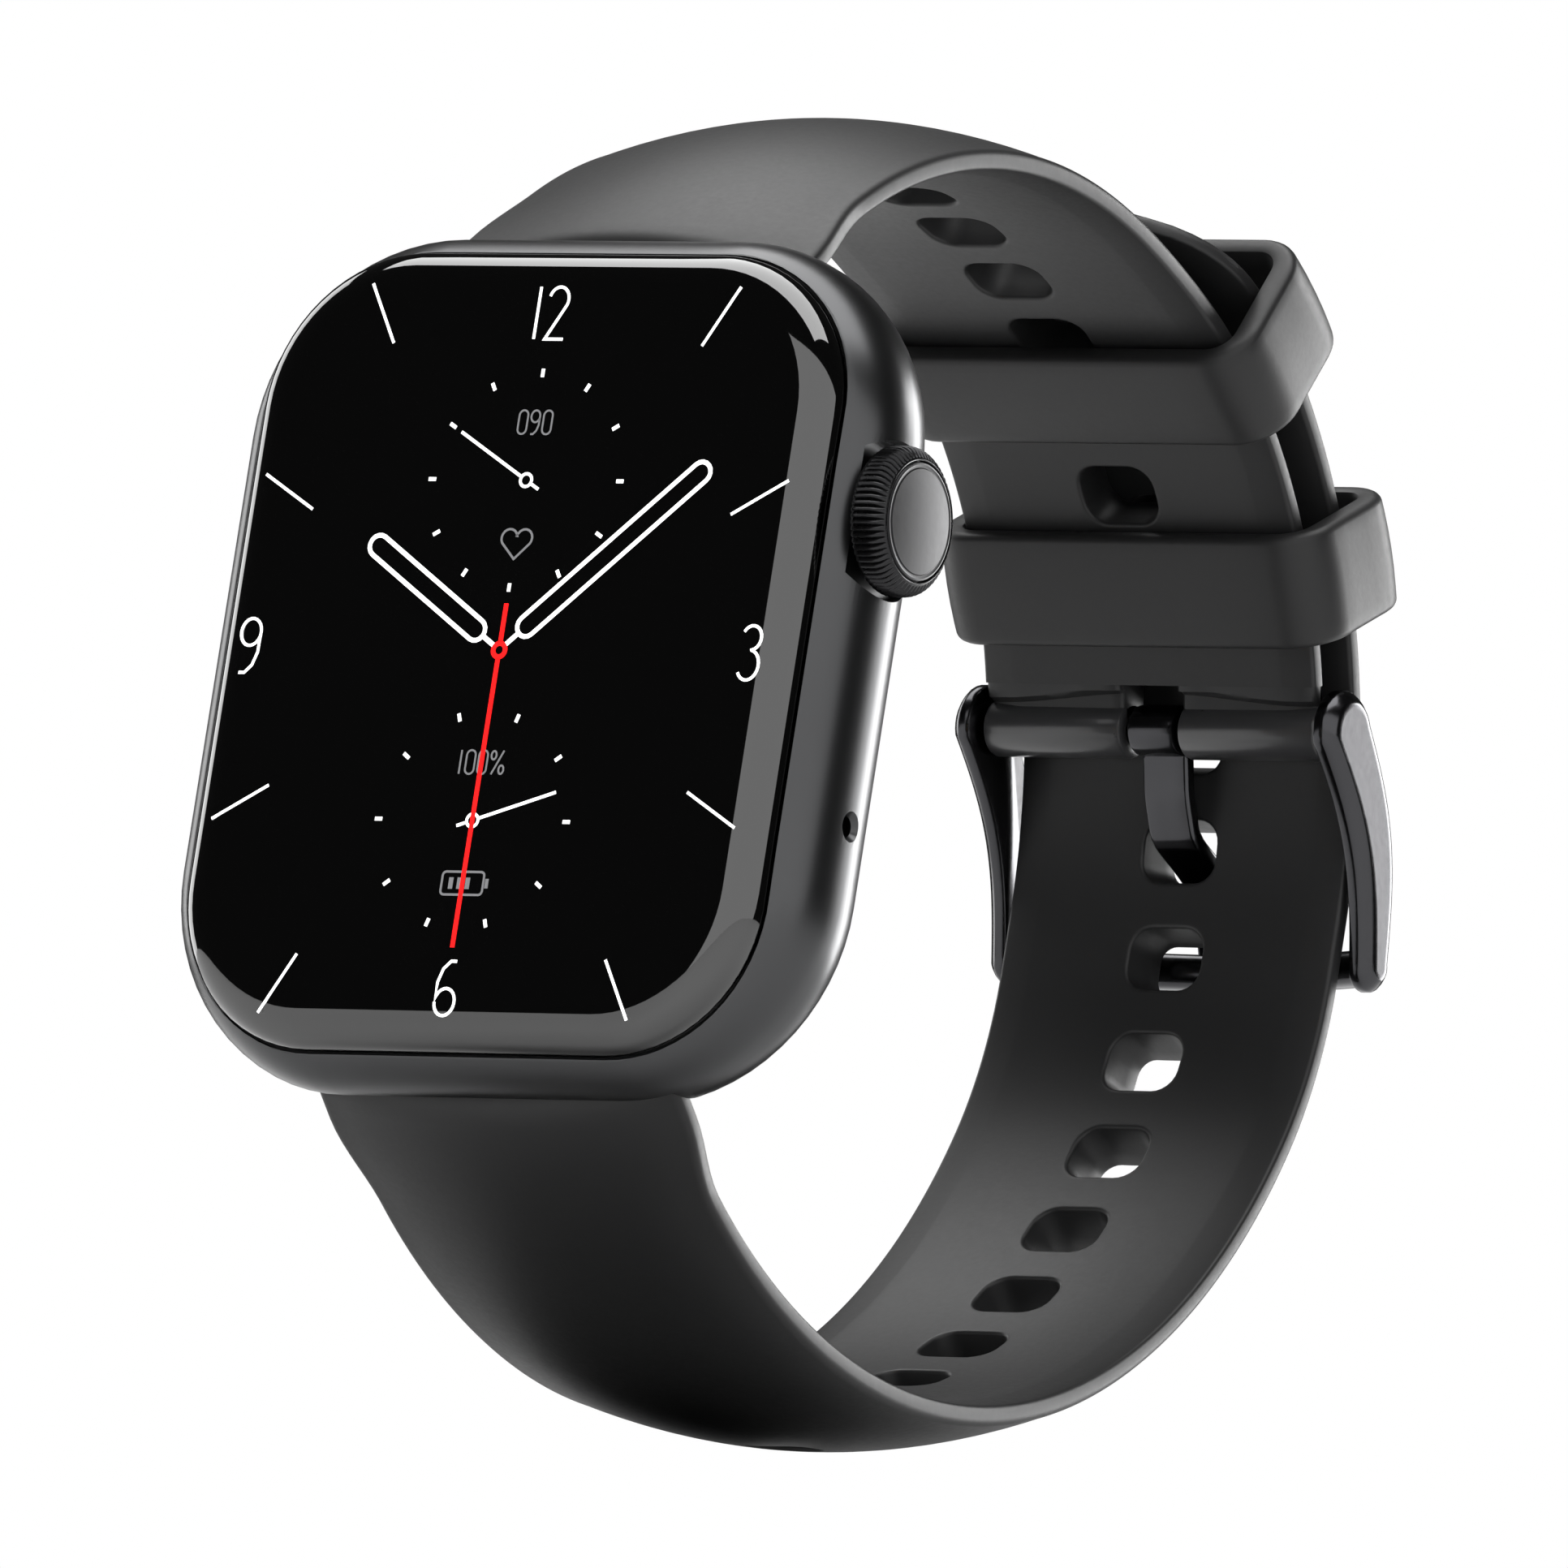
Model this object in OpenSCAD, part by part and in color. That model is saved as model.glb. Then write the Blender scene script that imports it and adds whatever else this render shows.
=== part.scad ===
// Square smartwatch on a soft buckle strap, closed into the loop it makes on a wrist.
// Millimetres. +X points to 3 o'clock (the crown side), +Z to 12 o'clock, and the
// display faces -Y. The origin is the middle of the rear sensor window's outer face.

/* [Case] */
// case height, 12 to 6 o'clock
case_h = 45; // [37.5:0.5:54]
// case width, 9 to 3 o'clock
case_w = 38.7; // [35.5:0.1:46.5]
// thickness of the metal case
case_t = 8.8; // [8.6:0.1:10.6]
// corner radius of the case outline
case_r = 11; // [9.5:0.5:13]
// metal left beside the cover glass on each side
bezel_x = 2; // [1.8:0.1:2.6]
// metal left above and below the cover glass
bezel_z = 1.5; // [1.4:0.1:2]
// how far the cover glass stands in front of the metal
glass_proud = 0.7; // [0.5:0.1:0.9]
// height of the rear sensor window over the metal back
back_bump = 1.4; // [1.2:0.1:1.8]

/* [Crown] */
// radius of the knurled crown
crown_r = 3.85; // [3.2:0.05:4]
// number of knurls round the crown
knurls = 68; // [24:4:72]
// height of the crown's axis above the middle of the case
crown_z = 8; // [6.8:0.1:9.6]
// how far the crown can be pressed
crown_travel = 0.35; // [0.25:0.05:0.4]

/* [Strap] */
// width of the strap
strap_w = 20.2; // [17:0.1:24.3]
// thickness of the strap at its middle
strap_t = 2.85; // [2.35:0.05:3.45]
// thickness of the strap's side faces
edge_t = 1.2; // [1:0.05:1.5]
// overall size of the wrist loop, 1 as worn here
loop_scale = 1; // [0.95:0.01:1.15]
// distance between adjusting holes on the long strap
hole_pitch = 5.75; // [5:0.05:6.5]
// distance between holes on the short strap
vent_pitch = 5.25; // [5:0.05:6]

/* [Buckle] */
// radius of the buckle pin
pin_r = 0.75; // [0.6:0.05:0.9]
// thickness of the frame's side plates
plate_t = 1.3; // [1.1:0.1:1.6]
// radius of the frame's bar
bar_r = 0.95; // [0.8:0.05:1.1]
// width of the tongue
tongue_w = 2.8; // [2.2:0.1:3.2]
// length of a keeper along the strap
keeper_len = 6.1; // [5:0.1:6.6]

/* [Hidden] */
$fn = 64;
fit = 0.05;            // running clearance on a radius
gap = 0.1;             // clearance between stacked parts

// case levels along Y, back to front
y_back = -back_bump;
y_front = y_back - case_t;
y_glass = y_front - glass_proud;
y_under = y_front + 1.2;          // underside of the cover glass
y_ledge = y_under + 0.2;          // ledge that carries the display seal
y_floor = y_ledge + 1.4;          // floor of the display pocket
y_cav = y_back - 1.2;             // rear end of the inner room
side_r = case_t / 2 - 0.2;

glass_w = case_w - 2 * bezel_x;
glass_h = case_h - 2 * bezel_z;
glass_r = case_r - 2.5;
disp_w = glass_w - 2.7;
disp_h = glass_h - 2.7;
disp_r = glass_r - 1.4;
cav_x = case_w / 2 - 3.85;        // half sizes of the inner room
cav_z = case_h / 2 - 5.1;
cav_r = case_r - 4.5;

// band channels through the case, top and bottom
lug_r = 1.7;
lug_y = y_back - 3.4;
lug_z = case_h / 2 - 2.4;
neck = 1.15;                      // half thickness of the strap's neck
lug_x = strap_w / 2 + 1.6;
nub_out = 0.27;                   // how far a latch stands past its lug

// crown
crown_y = (y_back + y_front) / 2 - 0.4;
crown_x0 = case_w / 2 - 0.5;
crown_x1 = case_w / 2 + 1.55;
stem_r = 0.8;
bush_r = 1.45;

// strap run: arcs given as [inner radius, turn]; both runs leave the case and meet
// again at the back, where the long strap lies over the short one
k = loop_scale * case_h / 45;
lap = strap_t + 0.85;             // inner face to inner face where the straps overlap
up_p = [lug_y + 1.9, case_h / 2 - 0.4];
up_a = 48;
up_arcs = [[31.5 * k, 61.5], [57.5 * k, 6.5], [26.5 * k, 49]];
lo_p = [lug_y + 2.2, -case_h / 2 + 0.4];
lo_a = -39;
lo_arc = [36.4 * k, 104.5];
join_r = 34 * k;                  // arc that leads the long strap over the buckle

// end point of an arc of radius r and turn t, left for d = 1 and right for d = -1
function go(p, a, r, t, d) = p + r * [d * (sin(a + d * t) - sin(a)), d * (cos(a) - cos(a + d * t))];
function turned(arcs, n) = n == 0 ? 0 : arcs[n - 1][1] + turned(arcs, n - 1);
function at(arcs, p, a, d, n) = n == 0 ? p
    : go(at(arcs, p, a, d, n - 1), a + d * turned(arcs, n - 1), arcs[n - 1][0], arcs[n - 1][1], d);
// centre of the arc that starts at p with heading a
function centre(p, a, r, d) = p + r * [-d * sin(a), d * cos(a)];

up_end = at(up_arcs, up_p, up_a, -1, 3);
up_end_a = up_a - turned(up_arcs, 3);
c1 = centre(up_p, up_a, up_arcs[0][0], -1);
c2 = centre(at(up_arcs, up_p, up_a, -1, 1), up_a - up_arcs[0][1], up_arcs[1][0], -1);
c3 = centre(at(up_arcs, up_p, up_a, -1, 2), up_a - turned(up_arcs, 2), up_arcs[2][0], -1);
dir_end = [cos(up_end_a), sin(up_end_a)];
out_end = [-sin(up_end_a), cos(up_end_a)];
over = up_end + lap * out_end;
join_t = 90 + up_end_a;
top_back = over + join_r * [1 - cos(join_t), -sin(join_t)];
lo_end = at([lo_arc], lo_p, lo_a, 1, 1);
lo_end_a = lo_a + lo_arc[1];
back_r = (top_back[0] - lo_end[0]) / (1 - sin(lo_end_a));
low_back = lo_end + back_r * [1 - sin(lo_end_a), cos(lo_end_a)];
b1 = centre(lo_p, lo_a, lo_arc[0], 1);
b2 = [low_back[0] - back_r, low_back[1]];
b3 = [top_back[0] - join_r, top_back[1]];

// buckle pin, frame bar and tongue hole
tube_r = 1.5;
pin = up_end + 1.35 * out_end + 2.5 * [cos(up_end_a), sin(up_end_a)];
bar = [top_back[0] + edge_t + bar_r + 0.25, pin[1] - 11];
bar_rise = strap_t - edge_t + 0.25;
plate_x = strap_w / 2 + 0.35;
bar_half = plate_x + plate_t / 2;
bar_bend = (bar_half * bar_half + bar_rise * bar_rise) / (2 * bar_rise);
bar_out = bar[0] + bar_rise + bar_r;
tongue_z = pin[1] - 5.6;

hole_w = 4.4;
hole_l = 3.3;

// -------- shared shapes --------
module rr(w, h, r) {
    square([w - 2 * r, h], center = true);
    square([w, h - 2 * r], center = true);
    for (sx = [-1, 1]) for (sy = [-1, 1]) translate([sx * (w / 2 - r), sy * (h / 2 - r)]) circle(r);
}
// rounded plate across Y, between y0 and y1
module slab(w, h, r, y0, y1) {
    translate([0, y1, 0]) rotate([90, 0, 0]) linear_extrude(y1 - y0) rr(w, h, r);
}
module box(x0, x1, y0, y1, z0, z1) {
    translate([x0, y0, z0]) cube([x1 - x0, y1 - y0, z1 - z0]);
}
module rod_x(x0, x1, y, z, r) {
    translate([x0, y, z]) rotate([0, 90, 0]) cylinder(h = x1 - x0, r = r);
}
module rod_y(y0, y1, x, z, r) {
    translate([x, y1, z]) rotate([90, 0, 0]) cylinder(h = y1 - y0, r = r);
}
// pillow: a rounded plate whose front and back edges are rounded as well
module pillow(w, h, r, y0, y1, er) {
    intersection() {
        slab(w, h, r, y0, y1);
        translate([0, (y0 + y1) / 2, -h]) linear_extrude(2 * h) rr(w, y1 - y0, er);
        translate([-w, (y0 + y1) / 2, 0]) rotate([90, 0, 90]) linear_extrude(2 * w) rr(y1 - y0, h, er);
    }
}
// cross-section of the strap, radius along X of the sketch, flat face inside
module section(r, w, t, e) {
    polygon([[r + 0.25, -w / 2], [r, -w / 2 + 1.9], [r, w / 2 - 1.9], [r + 0.25, w / 2], [r + e, w / 2],
             [r + e + (t - e) * 0.62, w * 0.31], [r + t, w * 0.12], [r + t, -w * 0.12],
             [r + e + (t - e) * 0.62, -w * 0.31], [r + e, -w / 2]]);
}
// strap swept on an arc of inner radius r about c, from angle a0 through turn
module sweep(c, r, a0, turn, w = strap_w, t = strap_t, e = edge_t) {
    translate([0, c[0], c[1]]) rotate([90, 0, 90]) rotate([0, 0, a0]) rotate_extrude(angle = turn) section(r, w, t, e);
}
// stretch between two full ones, drawn 0.02 smaller all round and run a little into both
module sweep_in(c, r, a0, turn) sweep(c, r + 0.02, a0 - 0.3, turn + 0.6, strap_w - 0.04, strap_t - 0.04, edge_t - 0.04);
// hole cutter through the strap, at angle a round c
module punch(c, r, a) {
    translate([0, c[0], c[1]]) rotate([a, 0, 0]) slab(hole_w, hole_l, 1.2, r - 1, r + strap_t + 1);
}
module mirror_top(top) { if (top) children(); else mirror([0, 0, 1]) children(); }
module inside_room(m) { intersection() { slab(2 * cav_x - 2 * m, 2 * cav_z - 2 * m, cav_r - m, y_floor, y_cav); children(); } }

// -------- case --------
module case_shell() color([0.2, 0.2, 0.21]) difference() {
    pillow(case_w, case_h, case_r, y_front, y_back, side_r);
    slab(glass_w + 2 * gap, glass_h + 2 * gap, glass_r + gap, y_front - 1, y_ledge);
    slab(disp_w + 0.6, disp_h + 0.6, disp_r + 0.3, y_ledge - 1, y_floor);
    slab(2 * cav_x, 2 * cav_z, cav_r, y_floor - 1, y_cav + 0.01);
    slab(2 * cav_x + 1.6, 2 * cav_z + 1.2, cav_r + 0.7, y_cav, y_back + 1);
    for (top = [true, false]) mirror_top(top) {
        rod_x(-case_w, lug_x + 0.2, lug_y, lug_z, lug_r + 0.08);
        box(-case_w, strap_w / 2 + 1, lug_y - neck - gap, lug_y + neck + gap, lug_z, case_h);
        translate([0, 0, lug_z]) slab(5.1, 2, 0.98, lug_y, y_back + 1);
    }
    rod_x(case_w / 2 - 0.9, case_w, crown_y, crown_z, crown_r + 0.25);
    rod_x(cav_x - 1, case_w, crown_y, crown_z, bush_r);
    rod_x(cav_x - 1, case_w, y_mic, z_mic, 0.55);
    rod_x(case_w / 2 - 0.5, case_w, y_mic, z_mic, 0.75);
    rod_x(cav_x - 1, cav_x + 0.6, y_mic, z_mic, 1.2);
    for (z = [-6.2, -10.6]) translate([-cav_x + 1, y_mic, z]) rotate([0, -90, 0]) linear_extrude(case_w) rr(3.4, 1.2, 0.59);
}
y_mic = (y_back + y_front) / 2;
z_mic = -crown_z + 0.1;

module cover_glass() color([0.02, 0.02, 0.02]) intersection() {
    pillow(glass_w, glass_h, glass_r, y_glass, y_under + 3, 1.8);
    slab(glass_w + 4, glass_h + 4, glass_r, y_glass - 1, y_under);
}
module display_seal() color([0.05, 0.05, 0.05]) difference() {
    slab(glass_w - 0.2, glass_h - 0.2, glass_r - 0.1, y_under, y_ledge);
    slab(disp_w + 0.8, disp_h + 0.8, disp_r + 0.4, y_under - 1, y_ledge + 1);
}
module display_panel() color([0.05, 0.05, 0.08]) slab(disp_w, disp_h, disp_r, y_under, y_floor - 0.3);

// -------- inside --------
plate_y = y_floor + 0.05;
module mid_plate() color([0.6, 0.6, 0.62]) difference() {
    union() {
        slab(2 * cav_x - 0.4, 2 * cav_z - 0.4, cav_r - 0.2, plate_y, plate_y + 0.3);
        for (p = board_screw_at) rod_y(plate_y, board_y0, p[0], p[1], 1.1);
    }
    for (p = board_screw_at) rod_y(plate_y - 1, board_y0 + 1, p[0], p[1], 0.5);
    box(cav_x - 4.6, cav_x, plate_y - 1, plate_y + 1, crown_z - 3, crown_z + 3);
    box(-3.3, 3.3, plate_y - 1, plate_y + 1, cav_z - 1.5, cav_z - 0.7);
}
board_y0 = plate_y + 0.55;
board_y1 = board_y0 + 0.8;
board_z0 = 4.2;
board_screw_at = [[-cav_x + 2.4, board_z0 + 1.6], [cav_x - 6.4, board_z0 + 1.6], [0, cav_z - 3.2]];
module main_board() color([0.05, 0.25, 0.12]) difference() {
    inside_room(0.6) box(-cav_x, cav_x - 4.8, board_y0, board_y1, board_z0, cav_z - 1.9);
    for (p = board_screw_at) rod_y(board_y0 - 1, board_y1 + 1, p[0], p[1], 0.6);
}
module board_screws() color([0.75, 0.75, 0.77]) for (p = board_screw_at) difference() {
    union() {
        rod_y(plate_y + 0.1, board_y1 + 0.1, p[0], p[1], 0.5);
        rod_y(board_y1, board_y1 + 0.45, p[0], p[1], 0.95);
    }
    box(p[0] - 0.5, p[0] + 0.5, board_y1 + 0.25, board_y1 + 1, p[1] - 0.12, p[1] + 0.12);
    box(p[0] - 0.12, p[0] + 0.12, board_y1 + 0.25, board_y1 + 1, p[1] - 0.5, p[1] + 0.5);
}
module shield_can() color([0.78, 0.78, 0.8]) difference() {
    slab_at(-0.8, board_z0 + 5.2, 13, 6.4, 0.8, board_y1, board_y1 + 1.3);
    slab_at(-0.8, board_z0 + 5.2, 12.6, 6, 0.6, board_y1 - 1, board_y1 + 1.1);
}
module slab_at(x, z, w, h, r, y0, y1) { translate([x, 0, z]) slab(w, h, r, y0, y1); }
module processor() color([0.1, 0.1, 0.1]) slab_at(-0.8, board_z0 + 5.2, 9, 5, 0.2, board_y1, board_y1 + 0.8);
module board_chips() color([0.12, 0.12, 0.12]) {
    slab_at(-cav_x + 4.6, board_z0 + 4.6, 3, 3, 0.2, board_y1, board_y1 + 0.7);
    slab_at(-cav_x + 4.9, board_z0 + 8.3, 2.4, 2, 0.2, board_y1, board_y1 + 0.6);
    slab_at(-5, board_z0 + 9.9, 2.6, 1.4, 0.2, board_y1, board_y1 + 0.6);
    slab_at(4.4, board_z0 + 9.9, 3, 1.4, 0.2, board_y1, board_y1 + 0.6);
}
batt_z1 = board_z0 - 0.8;
batt_z0 = -cav_z + 6.2;
module battery() color([0.16, 0.16, 0.17]) slab_between(-8.2, cav_x - 2.9, batt_z0, batt_z1, 0.8, plate_y + 0.4, y_cav - 0.8);
module slab_between(x0, x1, z0, z1, r, y0, y1) { slab_at((x0 + x1) / 2, (z0 + z1) / 2, x1 - x0, z1 - z0, r, y0, y1); }
module battery_flex() color([0.75, 0.45, 0.15]) {
    box(-1.5, 1.5, board_y1 + 0.02, board_y1 + 0.17, batt_z1 + 0.05, board_z0 + 1.3);
}
module display_flex() color([0.75, 0.45, 0.15]) {
    box(-2.9, 2.9, y_floor - 0.28, board_y1 + 0.17, cav_z - 1.25, cav_z - 1.05);
    box(-2.9, 2.9, board_y1 + 0.02, board_y1 + 0.17, cav_z - 2.1, cav_z - 1.1);
}
hap_z0 = -cav_z + 0.8;
hap_z1 = batt_z0 - 0.5;
module haptic_case() color([0.62, 0.62, 0.65]) difference() {
    slab_between(-8.2, cav_x - 5.2, hap_z0, hap_z1, 0.6, plate_y + 0.4, y_cav - 0.8);
    slab_between(-7.8, cav_x - 5.6, hap_z0 + 0.4, hap_z1 - 0.4, 0.3, plate_y + 0.7, y_cav - 1.1);
}
module haptic_mass() color([0.4, 0.4, 0.42]) {
    slab_between(-7.2, cav_x - 6.2, hap_z0 + 0.7, hap_z1 - 0.7, 0.3, plate_y + 1, y_cav - 1.4);
}
module speaker() color([0.12, 0.12, 0.12]) difference() {
    inside_room(0.4) box(-cav_x, -8.8, plate_y + 0.4, y_cav - 0.8, -cav_z, -2);
    for (z = [-6.2, -10.6]) box(-cav_x - 1, -cav_x + 1.6, y_mic - 0.6, y_mic + 0.6, z - 1.7, z + 1.7);
    rod_y(plate_y + 0.9, y_cav, (-cav_x - 8.8) / 2 + 0.5, -8.4, 1.9);
}
module speaker_cone() color([0.3, 0.3, 0.32]) rod_y(plate_y + 1.6, plate_y + 1.9, (-cav_x - 8.8) / 2 + 0.5, -8.4, 1.9);
module speaker_mesh() color([0.35, 0.35, 0.36]) for (z = [-6.2, -10.6])
    translate([-cav_x - 1.4, y_mic, z]) rotate([0, -90, 0]) linear_extrude(0.15) rr(3.4, 1.2, 0.59);
module radio_module() color([0.7, 0.7, 0.72]) slab_between(-cav_x + 0.7, -8.8, -1.5, board_z0 - 0.6, 0.4, plate_y + 0.5, y_cav - 1.4);
module microphone() color([0.7, 0.62, 0.35]) difference() {
    box(cav_x - 2.3, cav_x - 0.15, y_mic - 1.1, y_mic + 1.1, z_mic - 1.4, z_mic + 1.4);
    rod_x(cav_x - 0.8, cav_x, y_mic, z_mic, 0.4);
}
module microphone_mesh() color([0.3, 0.3, 0.3]) rod_x(cav_x + 0.35, cav_x + 0.6, y_mic, z_mic, 1.2);

// -------- crown --------
module crown_bush() color([0.75, 0.62, 0.35]) difference() {
    rod_x(cav_x + 1.1, case_w / 2 - 0.95, crown_y, crown_z, bush_r);
    rod_x(cav_x, case_w, crown_y, crown_z, stem_r + fit);
}
module crown_stem() color([0.7, 0.7, 0.72]) difference() {
    union() {
        rod_x(cav_x - 1.1, crown_x0 + 0.7, crown_y, crown_z, stem_r);
        rod_x(cav_x - 1.1, cav_x + 1.05, crown_y, crown_z, 1.15);
    }
    for (x = [cav_x + 1.5, cav_x + 2.15]) difference() {
        rod_x(x, x + 0.36, crown_y, crown_z, 1);
        rod_x(x - 1, x + 1, crown_y, crown_z, stem_r - 0.28);
    }
}
module crown_seals() color([0.08, 0.08, 0.08]) for (x = [cav_x + 1.68, cav_x + 2.33])
    translate([x, crown_y, crown_z]) rotate([0, 90, 0]) rotate_extrude() translate([stem_r - 0.125, 0]) circle(0.15, $fn = 24);
module crown_knob() color([0.07, 0.07, 0.07]) difference() {
    translate([crown_x0, crown_y, crown_z]) rotate([0, 90, 0]) rotate_extrude() difference() {
        union() {
            square([crown_r - 0.75, crown_x1 - crown_x0]);
            translate([0, 0.55]) square([crown_r, crown_x1 - crown_x0 - 1.3]);
            translate([crown_r - 0.75, crown_x1 - crown_x0 - 0.75]) circle(0.75);
            translate([crown_r - 0.55, 0.55]) circle(0.55);
            square([crown_r - 0.55, 0.6]);
        }
        square([stem_r, 0.7]);
        translate([0, crown_x1 - crown_x0 - 0.35]) square([crown_r - 0.75, 1]);
    }
    for (i = [0:knurls - 1]) translate([crown_x0, crown_y, crown_z]) rotate([i * 360 / knurls, 0, 0])
        translate([0.3, crown_r + 0.03, 0]) rotate([0, 90, 0]) cylinder(h = crown_x1 - crown_x0 - 0.8, r = 0.13);
}
module crown_cap() color([0.16, 0.16, 0.17]) translate([crown_x1 - 0.35, crown_y, crown_z]) rotate([0, 90, 0])
    rotate_extrude() polygon([[0, 0], [crown_r - 0.82, 0], [crown_r - 0.82, 0.3], [crown_r - 1, 0.42], [0, 0.5]]);
module switch_body() color([0.2, 0.2, 0.21]) difference() {
    box(cav_x - 4.5, cav_x - 2.3, crown_y - 0.9, crown_y + 1.1, crown_z - 1.6, crown_z + 1.6);
    rod_x(cav_x - 3.6, cav_x, crown_y, crown_z, 0.6 + fit);
}
module switch_plunger() color([0.8, 0.8, 0.8]) rod_x(cav_x - 3.1, cav_x - 1.12, crown_y, crown_z, 0.6);

// -------- back --------
module back_seal() color([0.06, 0.06, 0.06]) difference() {
    slab(2 * cav_x + 1.3, 2 * cav_z + 0.9, cav_r + 0.5, y_cav + 0.02, y_cav + 0.15);
    slab(2 * cav_x + 0.1, 2 * cav_z + 0.1, cav_r, y_cav - 1, y_cav + 1);
}
win_r = 12.6;
module back_cover() color([0.14, 0.14, 0.15]) difference() {
    slab(2 * cav_x + 1.4, 2 * cav_z + 1, cav_r + 0.6, y_cav + 0.15, y_back);
    rod_y(y_cav - 1, y_back + 1, 0, 0, win_r - 1.2);
    for (z = [-1, 1]) slab_at(0, z * (win_r + 2.2), 5, 0.9, 0.44, y_back - 0.12, y_back + 1);
}
module sensor_window() color([0.03, 0.03, 0.04]) rotate([-90, 0, 0]) translate([0, 0, y_cav + 0.25]) rotate_extrude() {
    h = -y_cav - 0.25;
    polygon([[0, 0], [win_r - 1.3, 0], [win_r - 1.3, h - back_bump + 0.02], [win_r, h - back_bump + 0.02],
             [win_r, h - back_bump * 0.86], [win_r - 0.5, h - back_bump * 0.66], [win_r - 1.6, h - back_bump * 0.4],
             [win_r - 3, h - back_bump * 0.15], [win_r - 4.6, h], [0, h]]);
}
module charge_coil() color([0.72, 0.4, 0.2]) difference() {
    rod_y(y_cav - 0.55, y_cav + 0.2, 0, 0, 10.8);
    rod_y(y_cav - 2, y_cav + 1, 0, 0, 7.8);
}
module sensor_board() color([0.05, 0.2, 0.3]) rod_y(y_cav - 0.5, y_cav - 0.1, 0, 0, 7.2);
module led_emitters() color([0.6, 0.9, 0.6]) for (a = [45:90:315])
    rod_y(y_cav - 0.1, y_cav + 0.15, 4.8 * cos(a), 4.8 * sin(a), 0.7);
module photodiodes() color([0.1, 0.1, 0.12]) for (a = [0:90:270])
    rotate([0, a, 0]) slab_at(4.9, 0, 1.8, 1.8, 0.15, y_cav - 0.1, y_cav + 0.15);

// -------- band release --------
module release_button() {
    slab_at(0, lug_z, 4.9, 1.8, 0.88, lug_y + lug_r + 0.7, y_back - 0.3);
    slab_at(0, lug_z, 3.4, 1.3, 0.6, lug_y + lug_r + nub_out + 0.03, lug_y + lug_r + 0.9);
}
module release_button_top() color([0.25, 0.25, 0.26]) release_button();
module release_button_bottom() color([0.25, 0.25, 0.26]) mirror([0, 0, 1]) release_button();
module lug_latch() slab_at(0, lug_z, 3.4, 1.3, 0.6, lug_y - 0.2, lug_y + lug_r + nub_out);
module lug_latch_top() color([0.7, 0.7, 0.72]) lug_latch();
module lug_latch_bottom() color([0.7, 0.7, 0.72]) mirror([0, 0, 1]) lug_latch();

// -------- straps --------
// lug, neck and the block outside the case; p is the start of the inner face, a its heading
module root_block(p, a) {
    n = [-sin(a), cos(a)];
    lead = 0.5 * [cos(a), sin(a)];
    lo = p + 0.3 * n;
    hi = p + 0.72 * strap_t * n;
    rod_x(-lug_x, lug_x, lug_y, lug_z, lug_r);
    translate([-strap_w / 2 - 0.8, 0, 0]) rotate([90, 0, 90]) linear_extrude(strap_w + 1.6)
        polygon([[lug_y - neck, lug_z], [lug_y + neck, lug_z], [lug_y + neck, p[1] - 0.1], p, lo + lead, hi + lead, p + 0.9 * strap_t * n,
                 [lug_y - neck, case_h / 2 + 0.2]]);
}
module latch_room() slab_at(0, lug_z, 3.7, 1.6, 0.75, lug_y - 0.85, lug_y + lug_r + 1);
// neck between the strap's end and the tube round the pin, half width x and height h at the strap
module strap_end(x, h) translate([-x, 0, 0]) rotate([90, 0, 90]) linear_extrude(2 * x)
    polygon([up_end + 0.35 * out_end - 0.5 * dir_end, up_end + h * out_end - 0.5 * dir_end, pin + 0.75 * tube_r * out_end, pin - 0.75 * tube_r * out_end]);
tip_t = 3.3;                      // turn of the long strap's tip past the short strap's bend
module upper_strap() color([0.09, 0.09, 0.09]) difference() {
    union() {
        root_block(up_p, up_a);
        sweep(c1, up_arcs[0][0], up_a + 90 - up_arcs[0][1], up_arcs[0][1]);
        sweep_in(c2, up_arcs[1][0], up_a + 90 - turned(up_arcs, 2), up_arcs[1][1]);
        sweep(c3, up_arcs[2][0], up_end_a + 90, up_arcs[2][1]);
        strap_end(strap_w / 2 - 0.4, edge_t - 0.1);
        strap_end(strap_w * 0.3, strap_t * 0.7);
        rod_x(-strap_w / 2 + 0.4, strap_w / 2 - 0.4, pin[0], pin[1], tube_r);
    }
    latch_room();
    rod_x(-strap_w, strap_w, pin[0], pin[1], pin_r + fit);
    box(-tongue_w / 2 - 0.4, tongue_w / 2 + 0.4, pin[0] - 4, pin[0] + 4, pin[1] - 3, pin[1] + tube_r + 0.6);
    for (i = [0:7]) {
        s = 10.4 + i * vent_pitch;
        l3 = up_arcs[2][0] * up_arcs[2][1] * PI / 180;
        l2 = up_arcs[1][0] * up_arcs[1][1] * PI / 180;
        if (s < l3) punch(c3, up_arcs[2][0], up_end_a + 90 + s / up_arcs[2][0] * 180 / PI);
        else if (s < l3 + l2) punch(c2, up_arcs[1][0], up_end_a + 90 + up_arcs[2][1] + (s - l3) / up_arcs[1][0] * 180 / PI);
        else if (s < l3 + l2 + 12) punch(c1, up_arcs[0][0], up_end_a + 90 + up_arcs[2][1] + up_arcs[1][1] + (s - l3 - l2) / up_arcs[0][0] * 180 / PI);
    }
}
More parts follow.
